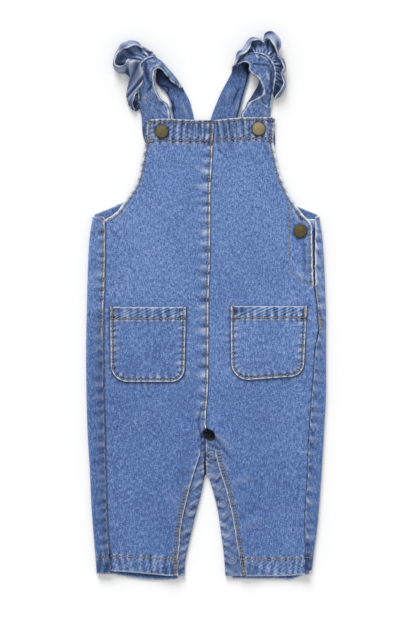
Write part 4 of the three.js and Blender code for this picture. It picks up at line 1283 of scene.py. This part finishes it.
# Creases of each strap in the photo's pixels: start, end, width in mm, rise in mm
STRAP_CREASES = {
    "right": [
        ((146.4, 63), (145.6, 74), 1.6, -1.2), ((145.2, 72), (149, 82.6), 1.5, -1.0),
        ((148, 82), (152.8, 85.4), 1.3, -0.8), ((147.4, 75), (153.2, 68.2), 1.0, 0.9),
        ((152.4, 68.8), (160, 65.4), 0.9, 0.8), ((149.2, 70), (148.2, 77), 1.0, -0.7),
        ((148.4, 61), (156, 63.4), 1.2, 0.7), ((152, 86), (148.6, 91.4), 1.3, -0.7),
        ((141.6, 66), (143.2, 78), 1.2, 0.6), ((146, 94), (144.4, 104), 1.6, 0.5),
        ((163, 66), (172, 77), 1.2, 0.6), ((159.6, 85), (170.4, 87.6), 1.3, -1.0),
        ((168.6, 87), (168, 95), 1.2, -0.9), ((162, 86.6), (165, 93), 0.9, 0.8),
        ((169.6, 103), (173.6, 112), 1.2, 0.7), ((182, 103), (188.4, 118.4), 0.8, 0.9),
        ((172.6, 100), (175.6, 112), 1.2, -0.7), ((164, 75), (177, 86), 1.6, -0.6),
    ],
    "left": [
        ((255, 55.6), (259.4, 60.4), 0.9, 0.9), ((263.2, 57.6), (267.8, 62.6), 0.9, 0.8),
        ((257, 60.6), (264.4, 61.2), 1.4, -0.3), ((252, 64.4), (262, 65.8), 1.0, -0.6),
        ((261, 65.8), (267.6, 66.4), 1.1, -0.8), ((266.6, 65.8), (271.2, 72.6), 1.1, -0.9),
        ((271, 71.4), (270.8, 82), 1.2, -1.0), ((270.9, 80), (270.2, 91), 1.1, -0.8),
        ((263.6, 66.2), (270.6, 70.8), 0.9, 0.9), ((266.6, 73.6), (268.6, 82), 1.6, 0.6),
        ((259.8, 101.2), (263.6, 105.2), 0.8, 1.0), ((263, 104.8), (270, 108.6), 0.8, 1.0),
        ((261.6, 101.8), (267.2, 105), 0.9, -0.4), ((263.6, 110), (267.6, 116.4), 1.0, 0.7),
        ((266.8, 90.6), (267.4, 95), 1.2, -0.6), ((271.6, 88.6), (272, 94), 1.0, -0.9),
        ((246, 64), (249, 73), 2.4, -1.0), ((240, 86), (232, 104), 1.4, -0.5),
        ((238, 100), (236, 112), 1.0, 0.7), ((231, 88), (226, 100), 1.8, 0.4),
    ],
}


def spline(rows, count):
    """Points on a smooth curve through the rows of a table, evenly counted between them."""
    rows = np.asarray(rows, float)
    ends = np.concatenate([[2 * rows[0] - rows[1]], rows, [2 * rows[-1] - rows[-2]]])
    place = np.linspace(0, len(rows) - 1 - 1e-9, count)
    k = place.astype(int)
    f = (place - k).reshape(-1, *([1] * (rows.ndim - 1)))
    p0, p1, p2, p3 = ends[k], ends[k + 1], ends[k + 2], ends[k + 3]
    m1, m2 = (p2 - p0) / 2, (p3 - p1) / 2
    return ((2 * f**3 - 3 * f**2 + 1) * p1 + (f**3 - 2 * f**2 + f) * m1
            + (3 * f**2 - 2 * f**3) * p2 + (f**3 - f**2) * m2)


def from_photo(u, v, z=0):
    """A place in the garment's frame from the photo's pixels and a height in mm."""
    x = (u - GARMENT_MIDDLE[0]) * MM_PER_PIXEL
    y = (GARMENT_MIDDLE[1] - v) * MM_PER_PIXEL + SHIFT
    return x * MM, y * MM, z * MM


def strap_grid(side):
    """Middle points of a strap's cloth, with the column of its neck edge."""
    rows = []
    for row in STRAPS[side]:
        points = [np.array(from_photo(*p)) for p in row]
        if len(points) == 2:
            points.insert(1, (points[0] + points[1]) / 2)
        if len(points) == 3:
            points.append(points[2] + 0.05 * (points[2] - points[0]) * (1, 1, 0) - (0, 0, 0.4 * MM))
        rows.append(points)
    table = spline(np.array(rows), STRAP_ROWS)
    columns = np.concatenate([np.linspace(0, 1, 16)[:-1], np.linspace(1, 2, 17)[:-1],
                              np.linspace(2, 3, 9)])
    before = np.minimum(columns.astype(int), 2)
    part = (columns - before)[None, :, None]
    grid = table[:, before] * (1 - part) + table[:, before + 1] * part
    for _ in range(5):
        grid[:, 1:-1] = (grid[:, :-2] + 2 * grid[:, 1:-1] + grid[:, 2:]) / 4
    return grid, STRAP_NECK


def build_strap(side, scene):
    """A shoulder strap: a ribbon that turns over at the shoulder and shows its inside behind."""
    cloth = scene.dungarees_cloth
    grid, neck = strap_grid(side)
    sign = -SIDES[side]
    grid += normals(grid, sign) * cloth.wall / 2
    relief = Relief(grid)
    seed = SEEDS["strap"][side]
    per_row = len(grid) / (len(STRAPS[side]) - 1)
    turn = int(per_row * STRAP_TURN[side])
    # From here on, row counts the rows of the strap's table
    row = np.arange(len(grid))[:, None] / per_row
    front = row < STRAP_TURN[side]
    above_bib = smooth(2.5, 4, row)
    across = np.array([lengths(line) for line in grid])
    from_neck = across - across[:, neck:neck + 1]
    width = across[:, neck:neck + 1]
    seam = grid[int(STRAP_SEAM_FOOT * per_row):turn, 0]
    relief.pucker(beside(seam, 1.8 * sign * MM), cloth.pucker, seed=seed, spacing=7 * MM,
                  reach=5 * MM, slant=0.3, paint=0.8)
    relief.pucker(grid[:turn, neck], cloth.pucker * 0.6, seed=seed + 3, spacing=9 * MM, reach=4 * MM,
                  slant=0.3, paint=0.7)
    # A pale worn line on the outer edge, and painted shade along the frill's seam inside it
    relief.worn += 1.2 * bell(across, MM) * above_bib
    relief.deep += 1.1 * bell(across, 0.8 * MM, 2.3 * MM) * above_bib
    for start, end, reach, rise in STRAP_CREASES[side]:
        start, end = (tuple(np.array(from_photo(*p)[:2]) / MM) for p in (start, end))
        relief.crease(start, end, reach, rise, paint=1.6)
    creases = relief.worn * 0.6, relief.deep.copy()
    # A pale worn line on the neck edge; past it the cloth folds under and is painted with shade
    edge = 1.2 * bell(from_neck, 0.55 * MM)
    last = STRAP_TURN[side] + (3 if side == "right" else 1.2)
    edge = edge * smooth(last, last - 1.4, row)
    tucked = smooth(0.8 * MM, 3 * MM, from_neck)
    relief.worn = relief.worn * (1 - tucked) + edge
    relief.deep = relief.deep * (1 - edge.clip(0, 1)) + 0.8 * tucked
    # Painted shade, close to unlit, under the turn over the shoulder
    under_turn = smooth(6.4, 8.6, row) * smooth(9.6, 8.8, row)
    relief.void += 0.6 * smooth(2 * MM, 6 * MM, from_neck) * under_turn
    # Slow undulations, with painted shade in their troughs
    place = lengths(grid[:, 0])[:, None]
    slow = uneven_wave(place + 0.6 * across, 21 * MM, seed + 1)
    relief.rise += 0.25 * MM * slow
    relief.shade(slow, 0, 0.14)
    # Painted shade over the first rows, where the strap goes in under the bib's edge
    relief.deep += 0.5 * smooth(2.2, 1.2, row)
    # Painted highlight and shade of small crumples that have no height of their own; the whole strap a
    # little darker
    crumple = 0.6 * uneven_wave(place + 1.1 * across, 6.5 * MM, seed + 5)
    crumple = crumple + 0.6 * uneven_wave(50 * MM + 0.5 * place - 1.4 * across, 7.5 * MM, seed + 6)
    relief.deep += 0.1
    relief.shade(crumple, 0.14, 0.34)
    # The inside: painted shade near the turn, deepest by the outer edge, and less under the pale neck
    # edge
    by_turn = bell(row - STRAP_TURN[side], 1.5, 1.4)
    inside_wear_and_highlight = 0.5 * edge + creases[0] * (1 - by_turn)
    inside_deep = 0.33 + 0.2 * np.clip(-crumple, 0, 1) + creases[1] + 0.55 * by_turn
    inside_deep = inside_deep * (1 - 0.8 * edge.clip(0, 1))
    inside_deep += 0.8 * np.clip(by_turn - 0.5, 0, 1) * smooth(0.5, 0.15, across / width)
    grid += normals(grid, sign) * (relief.rise * np.where(front, 1, -1))[..., None]
    make_cloth(f"strap_{side}", grid, sign, cloth.wall, relief, cloth_materials(scene)[:1],
               flat=(across[:, -1].max(), lengths(grid[:, 15])[-1] * 1.03),
               inside=(inside_wear_and_highlight, inside_deep))


# Each frill from one end of its seam to the other, in the photo's pixels, with heights in mm:
# on the seam, inside the ruffle, at its outer turn and on its free edge
FRILLS = {
    "right": [
        ((155.5, 56.6, 9.5), (154, 55, 9.5), (152.9, 53.9, 9.5), (151, 53, 10)),
        ((152, 56.4, 10), (149.5, 53.5, 9.5), (148.1, 51.1, 9.5), (146, 50.2, 10.5)),
        ((149, 56.9, 10.6), (145, 52.5, 9), (141.1, 46.8, 9), (138.5, 47.6, 11.2)),
        ((146.6, 57.8, 10.8), (141, 52.5, 8.5), (137.0, 43.1, 9), (134.8, 46.4, 12.2)),
        ((144.6, 59.2, 11), (136.5, 53.5, 7.5), (130.6, 42.0, 8.5), (130.6, 48.4, 12.8)),
        ((143, 60.6, 11), (131, 55.5, 6.5), (123.4, 44.5, 8), (124.8, 50.2, 12.8)),
        ((141.8, 62, 10.8), (126, 58, 6), (119.0, 50.2, 7), (119.6, 53.4, 12.2)),
        ((141, 63, 10.6), (123, 61, 5.5), (116.1, 56.8, 6), (116.4, 58.2, 12)),
        ((140.4, 63.8, 10.4), (122, 63, 5), (114.6, 62.1, 5), (115.4, 62.8, 11.6)),
        ((140, 64.6, 10.2), (123, 65, 4.5), (115.4, 68.3, 4.5), (117.4, 66.2, 11.4)),
        ((139.6, 65.6, 10), (126, 66.5, 4.5), (119.5, 72.6, 4), (121.4, 66.9, 11.4)),
        ((139.3, 66.8, 9.9), (128.6, 67.5, 4.5), (125.3, 72.3, 4), (124.8, 65, 11.8)),
        ((139, 68, 9.8), (131, 69, 4.5), (128.1, 74.1, 4), (127, 61.6, 12.2)),
        ((138.8, 69.4, 9.6), (132.5, 71, 4.5), (130.0, 76.4, 4), (129, 59.8, 12.4)),
        ((138.6, 71, 9.4), (134, 73, 4.5), (131.3, 77.4, 4), (131.2, 62.4, 11.4)),
        ((138.4, 73, 9.2), (134, 76, 4.5), (130.6, 79.5, 4), (134.8, 60.9, 12.6)),
        ((138.4, 76, 9), (133.5, 79, 4.2), (129.8, 82.9, 4), (138.4, 62.4, 13.2)),
        ((138.5, 80, 8.4), (133, 84, 4), (128.8, 87.5, 4), (141.6, 67.5, 13.6)),
        ((138.8, 84, 7.8), (132.6, 88, 3.8), (128.0, 91.9, 4), (143.8, 75.6, 13)),
        ((139.2, 89, 7), (132.4, 93, 3.6), (127.9, 97.0, 3.6), (143.2, 83, 11.6)),
        ((139.6, 94, 6), (132.6, 98, 3.4), (128.8, 101.9, 3.2), (138.8, 90.4, 10)),
        ((139.9, 99, 5), (134, 103, 3), (130.6, 105.9, 2.8), (134.6, 98, 8.6)),
        ((140.1, 104, 4), (136.4, 107, 2.4), (133.3, 108.9, 2.4), (133.2, 105.6, 7)),
        ((140.2, 108.6, 3), (138.4, 109.6, 2), (136.9, 110.5, 2), (135.4, 109.6, 5)),
    ],
    "left": [
        ((247, 55.6, 8), (241, 60, 6), (235.2, 66.0, 6.4), (236, 65, 9.2)),
        ((248.6, 55, 8.6), (242, 57.5, 5.5), (236.3, 58.9, 6.4), (239, 58.6, 10.6)),
        ((250.4, 54.4, 9.2), (244.5, 54, 5.5), (238.8, 52.5, 6.4), (243, 55.4, 11.4)),
        ((252.2, 53.8, 9.8), (247, 50.5, 5.5), (243.2, 49.6, 6.4), (247.6, 52.4, 12)),
        ((254, 53.4, 10.4), (250.5, 47, 6), (245.5, 45.1, 6.6), (250.2, 47.6, 12.4)),
        ((256, 53, 10.8), (254, 45.5, 6.5), (249.4, 40.4, 7), (251.6, 43.6, 12.4)),
        ((258, 52.8, 11), (257, 45.5, 7), (254.4, 38.9, 7.4), (255, 41.4, 12.2)),
        ((260, 52.9, 11.2), (260, 45.5, 7.4), (259.6, 40.2, 8), (259.6, 41.4, 11.6)),
        ((262, 53.3, 11.3), (262.6, 46.5, 8), (262.7, 42.8, 8.4), (262.6, 43, 10.8)),
        ((263.8, 54, 11.4), (265, 47, 8.4), (264.0, 39.8, 8.8), (266, 41.5, 12.2)),
        ((265.6, 54.8, 11.4), (268.4, 47.5, 8.4), (266.2, 34.4, 8.4), (269, 41, 13.4)),
        ((267.4, 55.8, 11.4), (270.6, 49.4, 8.2), (271.9, 33.0, 8), (271, 43.4, 14)),
        ((269, 57, 11.3), (272.6, 51.6, 8), (277.7, 38.0, 7.6), (273.2, 46.8, 13.8)),
        ((270.4, 58.4, 11.2), (274, 54, 7.6), (280.1, 45.4, 7.2), (275.2, 50.4, 13)),
        ((271.6, 60, 11), (275, 57, 7.2), (277.5, 52.4, 7), (276.4, 53.4, 11.6)),
        ((272.6, 61.8, 10.8), (276.4, 60.4, 6.8), (277.0, 56.9, 6.6), (277.4, 57.4, 10.6)),
        ((273.4, 63.8, 10.6), (278, 63, 6.4), (281.6, 59.3, 6.2), (280.2, 61.4, 11)),
        ((274, 66, 10.2), (279, 66, 6), (284.6, 64.6, 5.8), (282.4, 65.4, 11)),
        ((274.6, 68.6, 9.8), (279.4, 69, 5.6), (284.4, 70.3, 5.4), (282.6, 69.6, 10.4)),
        ((275, 71.4, 9.4), (279, 72.6, 5.4), (281.2, 74.2, 5.2), (281, 73.6, 9.2)),
        ((275.2, 74.4, 9), (279, 76, 5), (282.5, 76.7, 4.8), (281.4, 77.2, 9)),
        ((275.2, 77.6, 8.6), (279.4, 79.4, 4.6), (284.6, 81.7, 4.4), (282.8, 81.4, 9.2)),
        ((274.8, 81, 8), (279.4, 83.4, 4.2), (284.3, 87.6, 4), (282.2, 86.4, 8.8)),
        ((274.4, 84.6, 7.2), (278.6, 87.4, 3.8), (281.9, 92.3, 3.6), (279.8, 90.6, 7.8)),
        ((273.8, 88.6, 6.4), (276.8, 91.6, 3.2), (278.3, 96.4, 3.2), (276.8, 94.6, 6.4)),
        ((273.2, 93, 5.4), (274.6, 96, 2.8), (274.6, 98.7, 2.8), (274.4, 98, 5)),
    ],
}


def build_frill(side, scene):
    """A gathered frill: out from the strap's edge, over its outer turn and back to its free edge."""
    cloth = scene.dungarees_cloth
    table = np.array([[from_photo(*p) for p in row] for row in FRILLS[side]])
    along = spline(table, FRILL_ROWS)
    grid = np.swapaxes(spline(np.swapaxes(along, 0, 1), FRILL_COLUMNS), 0, 1)
    sign = 1 if side == "right" else -1
    relief = Relief(grid)
    seed = SEEDS["frill"][side]
    share = np.linspace(0, 1, grid.shape[1])[None]
    run = lengths(grid[:, 0])[:, None]
    edge_run = lengths(grid[:, -1])[:, None]
    gathers = uneven_wave(run + 0.2 * MM * np.sin(share * 9), 2.9 * MM, seed)
    pleats = 0.7 * uneven_wave(run + 1.5 * MM * share, 5.4 * MM, seed + 3)
    pleats = pleats + 0.5 * uneven_wave(1.3 * run - 6 * MM * share, 4.1 * MM, seed + 5)
    folds = uneven_wave(edge_run + 3 * MM * share, 8.5 * MM, seed + 1) * smooth(0.45, 0.8, share)
    by_seam = smooth(0.3, 0.12, share) * smooth(0, 0.02, share)
    inner = smooth(0.03, 0.12, share) * smooth(0.66, 0.45, share)
    rim = 1.3 * bell(1 - share, 0.035)
    relief.rise = 0.7 * MM * gathers * by_seam + 0.45 * MM * folds + 0.6 * MM * pleats * inner
    # Paler crests of the gathers, pleats and folds, a painted highlight along the outer turn, and the
    # free edge worn pale
    relief.worn = 0.8 * np.clip(gathers, 0, 1) * by_seam + rim + 0.35 * np.clip(pleats, 0, 1) * inner
    relief.worn += 0.25 * np.clip(folds, 0, 1) + 0.2 * bell(share, 0.1, 0.62)
    # Painted shade in the troughs of the gathers, pleats and folds, inside the ruffle and over the last
    # rows of the seam
    relief.deep = 1.6 * np.clip(-gathers, 0, 1) * by_seam + 1.1 * np.clip(-pleats, 0, 1) * inner
    relief.deep += 0.45 * bell(share, 0.12, 0.4) + 0.4 * np.clip(-folds, 0, 1)
    relief.deep += 0.7 * smooth(0.8, 0.88, run / run.max()) * smooth(0.92, 0.8, share)
    # Soft patches painted as highlight and shade, with no height of their own, on both faces
    soft = (0.7 * uneven_wave(0.5 * edge_run + 8 * MM * share, 8.5 * MM, seed + 7)
            + 0.7 * uneven_wave(34 * MM * share - 0.45 * edge_run, 9 * MM, seed + 9))
    relief.deep += 0.04
    relief.shade(soft, 0.18, 0.4)
    inside_wear_and_highlight = rim + 0.35 * np.clip(soft, 0, 1)
    inside_deep = 0.85 * np.clip(-soft, 0, 1) + 0.14
    grid += normals(grid, sign) * relief.rise[..., None]
    width = widest(grid, 8)
    make_cloth(f"frill_{side}", grid, sign, cloth.wall * 0.7, relief, cloth_materials(scene),
               flat=(width, grid_area(grid) / width * 1.03),
               inside=(inside_wear_and_highlight, inside_deep))


def build_underlap(scene):
    """The underlap that shows in the gap of the side opening."""
    cloth = scene.dungarees_cloth
    low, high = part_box("side_underlap")
    xs = np.linspace(low.x, high.x, 30)
    ys = np.linspace(low.y, high.y, 70)
    x, y = np.meshgrid(xs, ys)
    grid = np.stack([x, y, np.full(x.shape, high.z)], 2)
    relief = Relief(grid)
    relief.edge(grid[-1], reach=1.2 * MM, strength=0.9)
    # Painted shade over the lower part by the back's edge, and paler along the top
    relief.deep += smooth(84 * MM, 78 * MM, y) * smooth(108 * MM, 111 * MM, x)
    relief.worn += 0.35 * smooth(84 * MM, 87 * MM, y)
    make_cloth("side_underlap", grid, 1, cloth.wall, relief, cloth_materials(scene),
               flat=(high.x - low.x, (high.y - low.y) * 1.01))


# Brass snaps

def lathe(name, profile, middle, steps, paint):
    """A turned piece from a profile of radius and height, closed on the axis."""
    points, faces, values = [], [], []
    for k, (radius, height) in enumerate(profile):
        for i in range(steps):
            turn = 2 * math.pi * i / steps
            points.append((middle.x + radius * math.cos(turn), middle.y + radius * math.sin(turn),
                           middle.z + height))
            values.append(paint[k])
    for k in range(len(profile) - 1):
        for i in range(steps):
            a, b = k * steps + i, k * steps + (i + 1) % steps
            faces.append((a, b, b + steps, a + steps))
    faces.append(tuple(range(steps))[::-1])
    last = (len(profile) - 1) * steps
    faces.append(tuple(range(last, last + steps)))
    piece = add_piece(name, points, faces)
    paint_points(piece, "deep", values)
    return piece


# Sides of each snap cap's round outline
SNAP_SIDES = 72

# Radius and height in mm, and painted shade, along the cap's turned profile
SNAP_PROFILE = [
    (6.4, 0.0, 1.0), (6.85, 0.05, 1.0), (7.0, 0.35, 1.0), (7.0, 0.8, 1.0), (6.9, 1.15, 0.9),
    (6.6, 1.45, 0.6), (6.25, 1.62, 0.15), (5.9, 1.66, 0.05), (5.6, 1.62, 0.3), (5.3, 1.66, 0.15),
    (4.6, 1.78, 0.0), (3.6, 1.92, 0.0), (2.4, 2.02, 0.0), (1.2, 2.08, 0.0), (0.4, 2.1, 0.0),
]


# How much painted highlight brightens the brass of each snap
SNAP_HIGHLIGHT = {"snap_cap_bib_right": 0.2, "snap_cap_bib_left": 0.83, "snap_cap_side_left": 0.02}


def build_snap(node_name, scene):
    """One snap cap, turned from its profile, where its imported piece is."""
    low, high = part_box(node_name)
    middle = Vector(((low.x + high.x) / 2, (low.y + high.y) / 2, low.z))
    profile = [(r * MM, h * MM) for r, h, _ in SNAP_PROFILE]
    paint = [dark for _, _, dark in SNAP_PROFILE]
    piece = lathe(node_name.replace("cap", "brass"), profile, middle, SNAP_SIDES, paint)
    # The painted highlight on this snap's brass
    paint_points(piece, "worn", np.full(len(piece.data.vertices), SNAP_HIGHLIGHT[node_name]))
    piece.data.materials.append(material("aged_brass", brass_material, scene.dungarees_snaps))
    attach(piece, BODY)
    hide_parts(node_name)


# Topstitching

def cloth_tree():
    """All the cloth that is built so far, for stitches to lie on."""
    points, faces = [], []
    for obj in bpy.context.scene.objects:
        if obj.name.endswith("_denim"):
            start = len(points)
            points += [v.co[:] for v in obj.data.vertices]
            faces += [[start + i for i in p.vertices] for p in obj.data.polygons]
    return BVHTree.FromPolygons(points, faces)


def capsule(radius, length):
    """Points and faces of one stitch lying along X, with rounded ends."""
    rings = [(-0.5, 0.25), (-0.36, 0.85), (-0.12, 1.0), (0.12, 1.0), (0.36, 0.85), (0.5, 0.25)]
    sides = 6
    points, faces = [], []
    for place, size in rings:
        for k in range(sides):
            turn = 2 * math.pi * k / sides
            reach = size * radius
            points.append((place * length, reach * math.cos(turn), reach * math.sin(turn)))
    for r in range(len(rings) - 1):
        for k in range(sides):
            a, b = r * sides + k, r * sides + (k + 1) % sides
            faces.append((a, b, b + sides, a + sides))
    faces.append(tuple(range(sides))[::-1])
    faces.append(tuple(range((len(rings) - 1) * sides, len(rings) * sides)))
    return np.array(points), faces


def sew(name, runs, thread, tree, pitch=None):
    """Stitches along runs of points, joined as one mesh.

    They lie on the cloth that tree holds, or under the garment without a tree.
    """
    length, gap, radius = thread.length, thread.gap, thread.radius
    base, base_faces = capsule(radius, length)
    rng = np.random.default_rng(len(name) * 7 + 3)
    points, faces = [], []
    for run in runs:
        line = even_line(np.asarray(run)[:, :2], 0.5 * MM)
        along = lengths(line)
        step = pitch or length + gap
        for place in np.arange(step / 2, along[-1] - step / 4, step):
            ends = []
            for shift in (-length * 0.45, length * 0.45):
                x, y = (np.interp(place + shift, along, line[:, k]) for k in (0, 1))
                hit = Vector((x, y, 0.62 * radius))
                if tree:
                    hit = tree.ray_cast(Vector((x, y, 0.1)), Vector((0, 0, -1)))[0]
                if hit is None:
                    break
                ends.append(hit)
            if len(ends) < 2 or abs(ends[0].z - ends[1].z) > 1.2 * MM:
                continue
            way = (ends[1] - ends[0]).normalized()
            side = Vector((-way.y, way.x, 0)).normalized()
            side = (side + way * rng.normal(0, 0.05)).normalized()
            up = way.cross(side).normalized()
            turn = np.array([way, side, up])
            middle = np.array((ends[0] + ends[1]) / 2) + np.array([0, 0, radius * 0.35 if tree else 0])
            start = len(points) * len(base)
            points.append(base @ turn + middle)
            faces += [[start + i for i in face] for face in base_faces]
    finish = material("tan_thread", thread_material, thread)
    piece = add_piece(name, np.concatenate(points).tolist(), faces, [finish])
    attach(piece, BODY)


# Half the distance of a bartack's two rows, and the distance of its stitches
BARTACK_HALF = 0.35 * MM
BARTACK_PITCH = 1.6 * MM

# Both ends of each bartack, in mm
BARTACKS = {
    "side_right": ((-108.6, -23), (-108.6, -33)),
    "side_left": ((117.6, -13), (119.4, -25)),
    "opening_left": ((107.5, 21.2), (115.5, 20.6)),
    "armpit_right": ((-110.6, 90.0), (-106.6, 86.5)),
    "bib_right": ((-59.8, 170.6), (-55, 170.6)),
    "pocket_right_inner": ((-22.9, -3), (-22.9, -11)),
    "pocket_right_outer": ((-97.6, -3), (-97.6, -11)),
    "pocket_left_inner": ((27.6, -3), (27.6, -11)),
    "pocket_left_outer": ((102.4, -2), (102.4, -10)),
}


# The floor's half size and its distance under the cloth, in m
FLOOR_HALF = 9
FLOOR_DROP = 0.2 * MM

# The low light from the head end: its place in m and its angle in radians; the camera's sensor in mm
KEY_PLACE = (-0.5, 2.2, 1.25)
KEY_ANGLE = 0.5
SENSOR_HEIGHT = 36


# Operators

class DUNGAREES_OT_backs(bpy.types.Operator):
    """Build both backs, the inner leg plackets and the side underlap"""
    bl_idname = "dungarees.backs"
    bl_label = "Backs and plackets"

    def execute(self, context):
        for side in SIDES:
            build_back(side, context.scene)
            build_placket(side, context.scene)
        build_underlap(context.scene)
        return {"FINISHED"}


class DUNGAREES_OT_fronts(bpy.types.Operator):
    """Build both fronts, each a bib half and a leg in one"""
    bl_idname = "dungarees.fronts"
    bl_label = "Fronts"

    def execute(self, context):
        for side in SIDES:
            build_front(side, context.scene)
        return {"FINISHED"}


class DUNGAREES_OT_pockets(bpy.types.Operator):
    """Build the two patch pockets"""
    bl_idname = "dungarees.pockets"
    bl_label = "Patch pockets"

    def execute(self, context):
        for side in SIDES:
            build_pocket(side, context.scene)
        return {"FINISHED"}


class DUNGAREES_OT_straps(bpy.types.Operator):
    """Build the shoulder straps and their gathered frills"""
    bl_idname = "dungarees.straps"
    bl_label = "Straps and frills"

    def execute(self, context):
        for side in SIDES:
            build_strap(side, context.scene)
            build_frill(side, context.scene)
        return {"FINISHED"}


class DUNGAREES_OT_snaps(bpy.types.Operator):
    """Build the three brass snap caps"""
    bl_idname = "dungarees.snaps"
    bl_label = "Brass snaps"

    def execute(self, context):
        for name in SNAP_HIGHLIGHT:
            build_snap(name, context.scene)
        return {"FINISHED"}


class DUNGAREES_OT_stitching(bpy.types.Operator):
    """Sew the tan topstitching and the bartacks"""
    bl_idname = "dungarees.stitching"
    bl_label = "Topstitching"

    def execute(self, context):
        scene = context.scene
        thread = scene.dungarees_thread
        if not SEWN:
            raise RuntimeError("The cloth comes before its topstitching")
        tree = cloth_tree()
        for label, runs in SEWN.items():
            sew(f"{label}_stitching", runs, thread, tree)
        for label, runs in SEWN_UNDER.items():
            sew(f"{label}_underside_stitching", runs, thread, None)
        runs = []
        for start, end in BARTACKS.values():
            a, b = np.array(start) * MM, np.array(end) * MM
            runs += [np.array([a + [d, 0], b + [d, 0]]) for d in (-BARTACK_HALF, BARTACK_HALF)]
        sew("bartacks", runs, thread, tree, pitch=BARTACK_PITCH)
        return {"FINISHED"}


class DUNGAREES_OT_stage(bpy.types.Operator):
    """Lay the floor, set the lights and the camera straight above"""
    bl_idname = "dungarees.stage"
    bl_label = "Stage"

    def execute(self, context):
        scene = context.scene
        setting = scene.dungarees_stage
        corners = [(x * FLOOR_HALF, y * FLOOR_HALF, -FLOOR_DROP)
                   for x, y in ((-1, -1), (1, -1), (1, 1), (-1, 1))]
        add_piece("floor", corners, [(0, 1, 2, 3)], [material("paper_floor", floor_material)])
        self.light(scene, "key", KEY_PLACE, KEY_ANGLE, setting.key)
        world = bpy.data.worlds.new("studio")
        world.use_nodes = True
        background = world.node_tree.nodes["Background"]
        background.inputs[0].default_value = (1, 1, 1, 1)
        background.inputs[1].default_value = setting.fill
        scene.world = world
        scene.view_settings.view_transform = "Standard"
        data = bpy.data.cameras.new("overhead")
        data.lens = setting.lens
        data.sensor_fit = "VERTICAL"
        data.sensor_height = SENSOR_HEIGHT
        frame_height = PHOTO_HEIGHT * MM_PER_PIXEL * MM
        camera = bpy.data.objects.new("overhead", data)
        camera.location = (
            (PHOTO_MIDDLE[0] - GARMENT_MIDDLE[0]) * MM_PER_PIXEL * MM,
            (GARMENT_MIDDLE[1] - PHOTO_MIDDLE[1]) * MM_PER_PIXEL * MM,
            frame_height * setting.lens / data.sensor_height,
        )
        scene.collection.objects.link(camera)
        scene.camera = camera
        return {"FINISHED"}

    @staticmethod
    def light(scene, name, place, angle, strength):
        data = bpy.data.lights.new(name, "SUN")
        data.angle = angle
        data.energy = strength
        lamp = bpy.data.objects.new(name, data)
        lamp.location = place
        lamp.rotation_euler = Vector(place).to_track_quat("Z", "Y").to_euler()
        scene.collection.objects.link(lamp)


class DUNGAREES_PT_panel(bpy.types.Panel):
    """Sizes, colours and the building steps"""
    bl_label = "Dungarees"
    bl_idname = "DUNGAREES_PT_panel"
    bl_space_type = "VIEW_3D"
    bl_region_type = "UI"
    bl_category = "Dungarees"

    def draw(self, context):
        layout = self.layout
        for group in (context.scene.dungarees_cloth, context.scene.dungarees_thread,
                      context.scene.dungarees_snaps, context.scene.dungarees_stage):
            box = layout.box()
            for label in group.__annotations__:
                box.prop(group, label)
        for operator in OPERATORS:
            layout.operator(operator.bl_idname)


GROUPS = {
    "dungarees_cloth": DungareesCloth,
    "dungarees_thread": DungareesThread,
    "dungarees_snaps": DungareesSnaps,
    "dungarees_stage": DungareesStage,
}
OPERATORS = (DUNGAREES_OT_backs, DUNGAREES_OT_fronts, DUNGAREES_OT_pockets, DUNGAREES_OT_straps,
             DUNGAREES_OT_snaps, DUNGAREES_OT_stitching, DUNGAREES_OT_stage)


def register():
    for label, group in GROUPS.items():
        bpy.utils.register_class(group)
        setattr(bpy.types.Scene, label, PointerProperty(type=group))
    for operator in OPERATORS:
        bpy.utils.register_class(operator)
    bpy.utils.register_class(DUNGAREES_PT_panel)


def unregister():
    bpy.utils.unregister_class(DUNGAREES_PT_panel)
    for operator in reversed(OPERATORS):
        bpy.utils.unregister_class(operator)
    for label, group in GROUPS.items():
        delattr(bpy.types.Scene, label)
        bpy.utils.unregister_class(group)


def main():
    register()
    bpy.ops.dungarees.backs()
    bpy.ops.dungarees.fronts()
    bpy.ops.dungarees.pockets()
    bpy.ops.dungarees.straps()
    bpy.ops.dungarees.snaps()
    bpy.ops.dungarees.stitching()
    bpy.ops.dungarees.stage()


if __name__ == "__main__":
    main()
